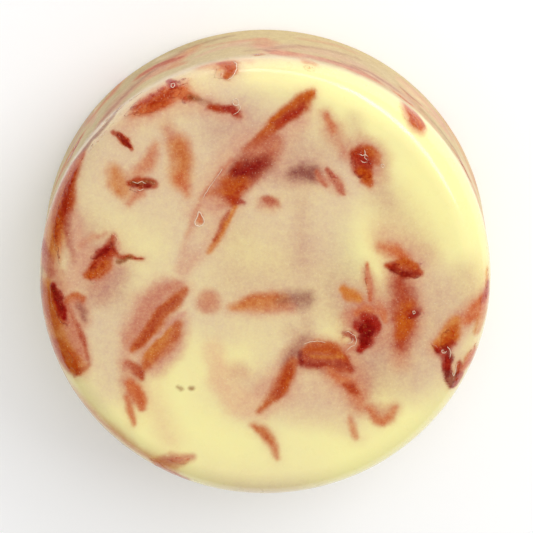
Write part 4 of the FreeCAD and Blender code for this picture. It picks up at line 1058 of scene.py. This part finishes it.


# Raised lips on the skin: name, outline, radius, closed. An outline is on the plane of the face, as seen
# from the viewpoint. These places too were read off the photograph and converted by a separate program.
# The lips' pale colour is partly painted highlight: it stands for the glints there, most of all on those
# named glint.
BUBBLES = [
    ("teardrop_bubble", [
        (-10.57, 12.69), (-10.25, 12.44), (-10.10, 11.95), (-9.78, 11.46), (-9.71, 10.89),
        (-9.95, 10.40), (-10.43, 10.24), (-10.98, 10.40), (-11.22, 10.81), (-11.05, 11.30),
        (-10.73, 11.95),
    ], 0.085, True),
    ("ringed_crumb_bubble", [
        (-5.02, 30.68), (-4.55, 30.84), (-4.16, 30.52), (-4.08, 30.05), (-4.40, 29.73),
        (-4.86, 29.81), (-5.14, 30.20),
    ], 0.075, True),
    ("ringed_crumb_tail", [
        (-4.08, 29.97), (-3.85, 29.33), (-4.24, 28.70), (-5.03, 28.30),
    ], 0.060, False),
    ("rim_flake_bubble", [
        (-14.68, 33.21), (-14.28, 33.32), (-14.13, 32.97), (-14.37, 32.61), (-14.71, 32.75),
    ], 0.070, True),
    ("top_flake_edge", [
        (-4.99, 36.82), (-4.45, 36.43), (-4.41, 35.64), (-4.77, 34.86), (-5.24, 34.15),
        (-5.94, 33.76),
    ], 0.070, False),
    ("roll_edge", [
        (-6.64, 19.74), (-7.75, 18.13), (-9.03, 16.35), (-9.91, 14.72),
    ], 0.050, False),
    ("dark_curl_outer", [
        (12.88, -7.36), (13.44, -7.20), (14.01, -7.62), (14.47, -7.87), (14.77, -8.63),
        (14.55, -9.47), (13.80, -9.85), (13.24, -10.35),
    ], 0.055, False),
    ("dark_curl_inner", [
        (14.10, -8.21), (14.19, -8.71), (13.84, -9.14), (13.31, -9.24),
    ], 0.045, False),
    ("chunk_crease_1", [
        (14.78, 22.07), (15.33, 21.75), (15.80, 21.91), (16.28, 21.59),
    ], 0.050, False),
    ("chunk_crease_2", [
        (15.64, 22.71), (15.80, 22.15), (15.70, 21.43), (16.13, 20.87),
    ], 0.050, False),
    ("chunk_crease_3", [
        (15.03, 20.95), (15.58, 20.63), (16.21, 20.71),
    ], 0.045, False),
    ("corner_glint", [
        (23.70, -3.84), (24.02, -3.75), (24.15, -4.09), (23.87, -4.31),
    ], 0.070, True),
    ("hook_glint_1", [
        (28.51, -10.40), (28.99, -10.24), (29.32, -10.49), (29.01, -10.83), (28.60, -10.79),
    ], 0.070, True),
    ("hook_glint_2", [
        (29.22, -9.56), (29.80, -10.15), (30.03, -10.91), (29.84, -11.76),
    ], 0.060, False),
    ("hook_edge", [
        (30.99, -12.69), (30.94, -13.88), (30.56, -14.82), (30.30, -14.06),
    ], 0.055, False),
    ("crumb_edge_1", [
        (-21.03, 17.51), (-20.24, 17.24), (-19.61, 17.56), (-18.82, 17.24),
    ], 0.045, False),
    ("crumb_edge_2", [
        (-20.42, 16.35), (-19.79, 16.10), (-19.07, 16.43),
    ], 0.045, False),
    ("right_rim_bubble", [
        (18.27, 20.30), (18.61, 20.42), (18.84, 20.13), (18.62, 19.82), (18.30, 19.93),
    ], 0.050, True),
    ("fold_edge", [
        (6.12, -9.39), (7.09, -8.97), (8.38, -8.80), (9.83, -9.05),
    ], 0.045, False),
    ("left_rim_glint", [
        (-25.66, 26.31), (-25.26, 26.71), (-24.78, 27.19),
    ], 0.050, False),
    ("left_rim_glint_low", [
        (-26.89, 23.76), (-26.57, 24.24),
    ], 0.050, False),
]


# ---------------------------------------------------------------- materials

# Short names for the shader's sockets.
SOCKETS = {
    "roughness": "Roughness",
    "refraction": "IOR",
    "specular": "Specular IOR Level",
    "coat": "Coat Weight",
    "coat_roughness": "Coat Roughness",
    "scatter": "Subsurface Weight",
    "scatter_radius": "Subsurface Radius",
    "scatter_scale": "Subsurface Scale",
}


def new_material(name):
    material = bpy.data.materials.new(name)
    material.use_nodes = True
    tree = material.node_tree
    shader = tree.nodes["Principled BSDF"]
    return material, tree, shader


def node(tree, kind, **settings):
    """Add a shader node; settings name its properties, and inputs are given by number or name."""
    made = tree.nodes.new(kind)
    inputs = settings.pop("inputs", {})
    for key, value in settings.items():
        setattr(made, key, value)
    for key, value in inputs.items():
        if isinstance(value, bpy.types.NodeSocket):
            tree.links.new(value, made.inputs[key])
        else:
            made.inputs[key].default_value = value
    return made


def place(tree):
    """Position in metres, so a noise scale of 1000 makes bumps about a millimetre across."""
    return node(tree, "ShaderNodeTexCoord").outputs["Object"]


def set_sockets(shader, **values):
    """Set the shader's own sockets, for what is the same all over the surface."""
    for name, value in values.items():
        shader.inputs[SOCKETS[name]].default_value = value


def noise(tree, scale, detail=2.0, roughness=0.5, distortion=0.0):
    made = node(tree, "ShaderNodeTexNoise", inputs={
        "Vector": place(tree), "Scale": scale, "Detail": detail,
        "Roughness": roughness, "Distortion": distortion,
    })
    return made.outputs["Fac"]


def spread(tree, value, low, high, to_low, to_high):
    """Map a value from one range to another, clamped."""
    return node(tree, "ShaderNodeMapRange", inputs={
        "Value": value, "From Min": low, "From Max": high, "To Min": to_low, "To Max": to_high,
    }).outputs["Result"]


def math_node(tree, operation, first, second=0.0):
    return node(tree, "ShaderNodeMath", operation=operation, inputs={0: first, 1: second}).outputs[0]


def mixed(tree, factor, first, second, blend="MIX"):
    made = node(tree, "ShaderNodeMix", data_type="RGBA", blend_type=blend, inputs={
        0: factor, 6: first, 7: second,
    })
    return made.outputs[2]


def bump(tree, height, strength, distance, below=None):
    inputs = {"Height": height, "Strength": strength, "Distance": distance}
    if below is not None:
        inputs["Normal"] = below
    return node(tree, "ShaderNodeBump", inputs=inputs).outputs["Normal"]


def srgb(red, green, blue):
    """An 8-bit screen colour as linear light with alpha."""
    channels = [c / 255 for c in (red, green, blue)]
    return tuple(c / 12.92 if c < 0.04045 else ((c + 0.055) / 1.055) ** 2.4 for c in channels) + (1.0,)


def dyed_colour(tree, low, high):
    """The cream of the soap, darkened by the tint stored on the mesh, with fine grain in the dye."""
    cloud = spread(tree, noise(tree, scale=55, detail=3.0), 0.35, 0.65, 0.0, 1.0)
    cream = mixed(tree, cloud, tuple(to_linear(CREAM)) + (1.0,), srgb(243, 232, 166))
    grain = spread(tree, noise(tree, scale=2600, detail=2.0, roughness=0.6), 0.3, 0.7, low, high)
    mottle = spread(tree, noise(tree, scale=800, detail=3.0, roughness=0.6), 0.3, 0.7, low, high)
    tint = node(tree, "ShaderNodeAttribute", attribute_name="tint").outputs["Color"]
    factor = math_node(tree, "MULTIPLY", grain, mottle)
    scaled = node(tree, "ShaderNodeVectorMath", operation="SCALE", inputs={0: tint, 3: factor})
    parts = node(tree, "ShaderNodeSeparateXYZ", inputs={0: scaled.outputs[0]})
    kept = [math_node(tree, "POWER", math.exp(-1), parts.outputs[i]) for i in range(3)]
    passed = node(tree, "ShaderNodeCombineXYZ", inputs=dict(enumerate(kept)))
    return mixed(tree, 1.0, cream, passed.outputs[0], "MULTIPLY")


# Heights, in metres, between which the glossy face turns into the duller wall.
GLOSS_ENDS = 0.0235
DULL_STARTS = 0.0185


def base_soap_material():
    """Pale cast soap, tinted by what lies under its skin, with fine grain and painted glints: pale specks
    mixed into its colour for a pearly sparkle.
    """
    material, tree, shader = new_material("base_soap")
    tinted = dyed_colour(tree, 0.86, 1.14)
    # Painted highlight: tiny pale specks in the colour stand for glints.
    painted_glint = spread(tree, noise(tree, scale=4200, detail=0.0), 0.72, 0.80, 0.0, 0.18)
    tree.links.new(mixed(tree, painted_glint, tinted, srgb(252, 242, 214)), shader.inputs["Base Color"])
    level = node(tree, "ShaderNodeSeparateXYZ", inputs={0: place(tree)}).outputs[2]
    wall = spread(tree, level, GLOSS_ENDS, DULL_STARTS, 0.0, 1.0)
    rough = spread(tree, noise(tree, scale=420, detail=3.0), 0.3, 0.7, 0.24, 0.36)
    rougher = math_node(tree, "ADD", rough, math_node(tree, "MULTIPLY", wall, 0.22))
    tree.links.new(rougher, shader.inputs["Roughness"])
    tree.links.new(spread(tree, wall, 0.0, 1.0, 0.8, 0.1), shader.inputs["Coat Weight"])
    coarse = bump(tree, noise(tree, scale=260, detail=2.0), 0.25, 0.00025)
    fine = bump(tree, noise(tree, scale=2400, detail=2.0), 0.12, 0.00006, coarse)
    tree.links.new(fine, shader.inputs["Normal"])
    set_sockets(shader, scatter=0.12, scatter_radius=(1.0, 0.75, 0.45), scatter_scale=0.0006)
    set_sockets(shader, refraction=1.46, specular=0.25, coat_roughness=0.12)
    return material


def shaving_material(name, dark, light):
    """See-through dyed soap: dark folds, brighter thin places, a wet-looking cut face."""
    material, tree, shader = new_material(name)
    tinted = dyed_colour(tree, 0.84, 1.2)
    creases = noise(tree, scale=900, detail=3.0, roughness=0.6, distortion=0.8)
    folds = spread(tree, creases, 0.54, 0.66, 0.0, 0.55)
    thin = spread(tree, noise(tree, scale=1300, detail=3.0, roughness=0.65), 0.58, 0.72, 0.0, 0.5)
    folded = mixed(tree, folds, tinted, srgb(*dark))
    tree.links.new(mixed(tree, thin, folded, srgb(*light)), shader.inputs["Base Color"])
    rough = spread(tree, noise(tree, scale=700, detail=3.0), 0.3, 0.7, 0.16, 0.34)
    tree.links.new(rough, shader.inputs["Roughness"])
    ridges = bump(tree, noise(tree, scale=900, detail=3.0, roughness=0.6), 0.6, 0.0002)
    tree.links.new(ridges, shader.inputs["Normal"])
    set_sockets(shader, scatter=0.1, scatter_radius=(1.0, 0.35, 0.15), scatter_scale=0.0005)
    set_sockets(shader, refraction=1.47, specular=0.2, coat=0.6, coat_roughness=0.10)
    return material


def lip_and_glint_material():
    """Smooth pale lips where bubbles opened on the skin and along sharp edges; their pale colour is partly
    painted highlight, for the glints on them.
    """
    material, tree, shader = new_material("bubble_lip_and_glint")
    pale = mixed(tree, noise(tree, scale=1800, detail=2.0), srgb(240, 222, 196), srgb(226, 188, 158))
    tree.links.new(pale, shader.inputs["Base Color"])
    rough = spread(tree, noise(tree, scale=900, detail=2.0), 0.3, 0.7, 0.12, 0.3)
    tree.links.new(rough, shader.inputs["Roughness"])
    set_sockets(shader, coat=0.6, coat_roughness=0.08)
    return material


def floor_material():
    material, tree, shader = new_material("studio_floor")
    pale = mixed(tree, noise(tree, scale=6, detail=2.0), srgb(252, 252, 252), srgb(250, 250, 250))
    tree.links.new(pale, shader.inputs["Base Color"])
    set_sockets(shader, roughness=0.9, specular=0.1)
    return material


# ---------------------------------------------------------------- pieces

def mesh_object(name, points, faces, material, smooth=True):
    """A new object from points in millimetres."""
    mesh = bpy.data.meshes.new(name)
    mesh.from_pydata((np.asarray(points) * MM).tolist(), [], faces)
    mesh.materials.append(material)
    mesh.polygons.foreach_set("use_smooth", [smooth] * len(mesh.polygons))
    made = bpy.data.objects.new(name, mesh)
    bpy.context.scene.collection.objects.link(made)
    return made


def soap_body_shape():
    """Points of the pale soap's ideal skin, in millimetres, and its faces."""
    points = []
    faces = []
    previous = None
    for radius, level, count in skin_rings():
        first = len(points)
        angles = np.arange(count) * 2 * math.pi / count
        points.extend(zip(radius * np.cos(angles), radius * np.sin(angles), np.full(count, level)))
        if previous:
            faces.extend(stitched(previous[0], previous[1], first, count))
        previous = (first, count)
    return np.array(points), faces


def with_relief(points):
    """The soap's skin, sunk under the ideal outline by its relief."""
    outward = depth_below_skin(points)[1]
    sunk = points - outward * (SKIN_INSET + skin_relief(points))[:, None]
    sunk[:, 2] = np.maximum(sunk[:, 2], 0.0)
    return sunk


def remeshed(source, voxel):
    """Even, fine mesh of a CAD node's solids, as points in millimetres, normals and faces."""
    copy = bpy.data.objects.new("remesh_source", source.data.copy())
    bpy.context.scene.collection.objects.link(copy)
    modifier = copy.modifiers.new("even", "REMESH")
    modifier.mode = "VOXEL"
    modifier.voxel_size = voxel * MM
    depsgraph = bpy.context.evaluated_depsgraph_get()
    mesh = bpy.data.meshes.new_from_object(copy.evaluated_get(depsgraph), depsgraph=depsgraph)
    points = np.array([v.co for v in mesh.vertices]) / MM
    normals = np.array([v.normal for v in mesh.vertices])
    faces = [tuple(p.vertices) for p in mesh.polygons]
    bpy.data.objects.remove(copy)
    bpy.data.meshes.remove(mesh)
    return points, normals, faces


VOXEL = 0.16
COARSE_TEAR = 0.20
FINE_TEAR = 0.12
CUT_UNEVENNESS = 0.03
# A cut face stands this far above the soap round it, but stays this far inside the CAD outline.
PROUD = 0.04
LEAST_DEPTH = 0.005


def torn_shape(node_name):
    """A shaving that reaches the skin: torn edges, cut flush, with a slightly uneven cut face."""
    points, normals, faces = remeshed(frame["nodes"][node_name], VOXEL)
    tear = COARSE_TEAR * lattice_noise(points, 1.1, 31) + FINE_TEAR * lattice_noise(points, 0.45, 32)
    points = points + normals * tear[:, None]
    cut_face = CUT_UNEVENNESS * lattice_noise(points, 0.5, 33)
    lowest = SKIN_INSET + skin_relief(points) - PROUD + cut_face
    lowest = np.maximum(lowest, LEAST_DEPTH)
    for again in range(2):
        depth, outward = depth_below_skin(points)
        points = points - outward * np.clip(lowest - depth, 0, None)[:, None]
    return points, faces


SKIN_DEPTH = 0.14


def reaches_skin(node_name):
    points = np.array([v.co for v in frame["nodes"][node_name].data.vertices]) / MM
    return depth_below_skin(points)[0].min() < SKIN_DEPTH


def dyed_piece(name, node_name, points, faces, tint, material):
    piece = mesh_object(name, points, faces, material)
    layer = piece.data.attributes.new("tint", "FLOAT_COLOR", "POINT")
    colours = np.column_stack([tint, np.ones(len(tint))]).astype(np.float32)
    layer.data.foreach_set("color", colours.ravel())
    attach(piece, BODY)
    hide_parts(node_name)
    return piece


# A shaving at the skin is this much deeper in colour than the stain there.
PIECE_TINT = 1.1


def make_soap(materials):
    """The pale soap and the shavings that reach its skin; sealed-in shavings keep their CAD shape."""
    skin, skin_faces = soap_body_shape()
    shapes = {}
    for name, cad in frame["nodes"].items():
        if name == "soap_base":
            continue
        if reaches_skin(name):
            shapes[name] = torn_shape(name)
        else:
            cad.data.materials.clear()
            cad.data.materials.append(materials[SLOT_OF[name]])
    tint = full_tint(np.vstack([skin] + [points for points, faces in shapes.values()]))
    used = len(skin)
    dyed_piece("soap_body", "soap_base", with_relief(skin), skin_faces, tint[:used], materials["base_soap"])
    for name, (points, faces) in shapes.items():
        own = tint[used:used + len(points)]
        used += len(points)
        dyed_piece(name + "_piece", name, points, faces, own * PIECE_TINT, materials[SLOT_OF[name]])


# A line of sight is followed from this far before the plane of the face, in steps, up to this many.
RAY_START = 1.0
RAY_STEP = 0.02
RAY_STEPS = 400


def on_skin(x, y):
    """The point of the ideal skin seen at this place on the plane of the face."""
    eye = np.array([0, math.sin(CAMERA_TILT), math.cos(CAMERA_TILT)]) * CAMERA_DISTANCE + (0, 0, HEIGHT)
    target = np.array([x, y, HEIGHT])
    ray = (target - eye) / np.linalg.norm(target - eye)
    reach = np.linalg.norm(target - eye) - RAY_START
    for number in range(RAY_STEPS):
        point = eye + ray * reach
        if point[2] < HEIGHT and depth_below_skin(point[None])[0][0] > 0:
            break
        reach += RAY_STEP
    return point


LIP_SPACING = 0.12
LIP_SIDES = 8
LIP_WAVER = 0.05
LIP_UNEVENNESS = 0.35
# An open lip thins out over this many points at each end, to this share of its thickness.
LIP_TAPER = 3
LIP_END = 0.15
LIP_INSET = 0.004


def make_tube(name, outline, radius, closed, material):
    """A thin raised lip along an outline on the skin: the rim of an opened bubble, or a sharp edge."""
    places = np.array(outline, dtype=float)
    if closed:
        places = np.vstack([places, places[:1]])
    length = np.concatenate([[0], np.cumsum(np.hypot(*np.diff(places, axis=0).T))])
    count = max(8, int(length[-1] / LIP_SPACING))
    spots = np.linspace(0, length[-1], count, endpoint=not closed)
    path = np.column_stack([np.interp(spots, length, places[:, i]) for i in (0, 1)])
    path += LIP_WAVER * np.column_stack([
        lattice_noise(np.column_stack([path, np.zeros(count)]), 0.5, seed) for seed in (61, 62)
    ])
    centres = np.array([on_skin(*place) for place in path])
    outward = depth_below_skin(centres)[1]
    following = np.roll(centres, -1, axis=0) - centres
    if not closed:
        following[-1] = following[-2]
    across = np.cross(outward, following)
    across /= np.linalg.norm(across, axis=1)[:, None]
    thick = radius * (1 + LIP_UNEVENNESS * lattice_noise(centres, 0.8, 63))
    if not closed:
        ends = np.minimum(np.arange(count), np.arange(count)[::-1]) / LIP_TAPER
        thick = thick * np.clip(ends + LIP_END, 0, 1)
    points = []
    for centre, up, side, size in zip(centres, outward, across, thick):
        middle = centre - up * (size + LIP_INSET)
        for k in range(LIP_SIDES):
            angle = 2 * math.pi * k / LIP_SIDES
            points.append(middle + size * (math.cos(angle) * side + math.sin(angle) * up))
    faces = []
    for i in range(count if closed else count - 1):
        low = i * LIP_SIDES
        high = (i + 1) % count * LIP_SIDES
        for k in range(LIP_SIDES):
            after = (k + 1) % LIP_SIDES
            faces.append((low + k, low + after, high + after, high + k))
    if not closed:
        faces.append(tuple(range(LIP_SIDES))[::-1])
        faces.append(tuple((count - 1) * LIP_SIDES + k for k in range(LIP_SIDES)))
    tube = mesh_object(name, np.array(points), faces, material)
    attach(tube, BODY)


def make_bubbles(material):
    for name, outline, radius, closed in BUBBLES:
        make_tube(name, outline, radius, closed, material)


# ---------------------------------------------------------------- studio

def make_camera():
    """Looks down on the face from a little beyond it, so the far wall shows at the top."""
    data = bpy.data.cameras.new("camera")
    data.lens = LENS
    data.sensor_width = 36.0
    data.clip_end = 10.0
    camera = bpy.data.objects.new("camera", data)
    away = Vector((0, math.sin(CAMERA_TILT), math.cos(CAMERA_TILT)))
    upward = Vector((0, math.cos(CAMERA_TILT), -math.sin(CAMERA_TILT)))
    face = Vector((0, 0, HEIGHT))
    camera.location = (face + away * CAMERA_DISTANCE) * MM
    target = (face + upward * CAMERA_RISE + Vector((CAMERA_SIDE, 0, 0))) * MM
    back = (camera.location - target).normalized()
    right = upward.cross(back).normalized()
    top = back.cross(right)
    camera.matrix_world = axes_matrix(right, top, back, camera.location)
    bpy.context.scene.collection.objects.link(camera)
    bpy.context.scene.camera = camera


def axes_matrix(right, top, back, location):
    return Matrix((
        (right.x, top.x, back.x, location.x),
        (right.y, top.y, back.y, location.y),
        (right.z, top.z, back.z, location.z),
        (0, 0, 0, 1),
    ))


def direction(azimuth, elevation):
    around = math.radians(azimuth)
    above = math.radians(elevation)
    return Vector((math.cos(around) * math.cos(above), math.sin(around) * math.cos(above), math.sin(above)))


def rectangle_light(name, width, height, power):
    data = bpy.data.lights.new(name, "AREA")
    data.shape = "RECTANGLE"
    data.size = width
    data.size_y = height
    data.energy = power
    light = bpy.data.objects.new(name, data)
    bpy.context.scene.collection.objects.link(light)
    return light


# The bright strip that draws the highlight round the rim: (azimuth, elevation) of its corners.
STRIP_PATH = [(100, 8), (62, 25), (34, 43), (4, 53)]
STRIP_DISTANCE = 0.7
STRIP_WIDTH = 0.11
STRIP_RADIANCES = (3.5, 8.5, 6.5)


def strip_light(name, start, end, radiance):
    """A long narrow light between two directions, turned to the puck."""
    first = direction(*start) * STRIP_DISTANCE
    last = direction(*end) * STRIP_DISTANCE
    length = (last - first).length
    light = rectangle_light(name, length, STRIP_WIDTH, radiance * math.pi * length * STRIP_WIDTH)
    middle = (first + last) / 2
    back = middle.normalized()
    side = (last - first).normalized()
    upward = back.cross(side).normalized()
    light.matrix_world = axes_matrix(side, upward, back, middle)


OVERHEAD_DIRECTION = (60, 70)
OVERHEAD_DISTANCE = 1.1
OVERHEAD_SIZE = 0.9
OVERHEAD_POWER = 2.6


def overhead_light():
    """A broad soft light that shows in no reflection."""
    light = rectangle_light("overhead", OVERHEAD_SIZE, OVERHEAD_SIZE, OVERHEAD_POWER)
    towards = direction(*OVERHEAD_DIRECTION)
    light.location = towards * OVERHEAD_DISTANCE
    light.rotation_euler = towards.to_track_quat("Z", "Y").to_euler()
    light.visible_glossy = False


FLOOR_REACH = 900
WORLD_STRENGTH = 0.64


def make_studio():
    corners = [(x * FLOOR_REACH, y * FLOOR_REACH, 0) for x, y in ((-1, -1), (1, -1), (1, 1), (-1, 1))]
    floor = mesh_object("floor", corners, [(0, 1, 2, 3)], floor_material(), smooth=False)
    world = bpy.data.worlds.new("studio")
    world.use_nodes = True
    world.node_tree.nodes["Background"].inputs["Color"].default_value = (1, 1, 1, 1)
    world.node_tree.nodes["Background"].inputs["Strength"].default_value = WORLD_STRENGTH
    bpy.context.scene.world = world
    world.cycles_visibility.glossy = False
    for number, (start, end) in enumerate(zip(STRIP_PATH, STRIP_PATH[1:])):
        strip_light("strip_%d" % number, start, end, STRIP_RADIANCES[number])
    overhead_light()
    bpy.context.scene.view_settings.view_transform = "Standard"


def main():
    materials = {
        "base_soap": base_soap_material(),
        "rust_shaving": shaving_material("rust_shaving", (132, 24, 8), (208, 104, 48)),
        "amber_shaving": shaving_material("amber_shaving", (176, 76, 24), (222, 150, 84)),
        "mauve_shaving": shaving_material("mauve_shaving", (126, 62, 50), (202, 148, 122)),
    }
    make_soap(materials)
    make_bubbles(lip_and_glint_material())
    make_studio()
    make_camera()


main()
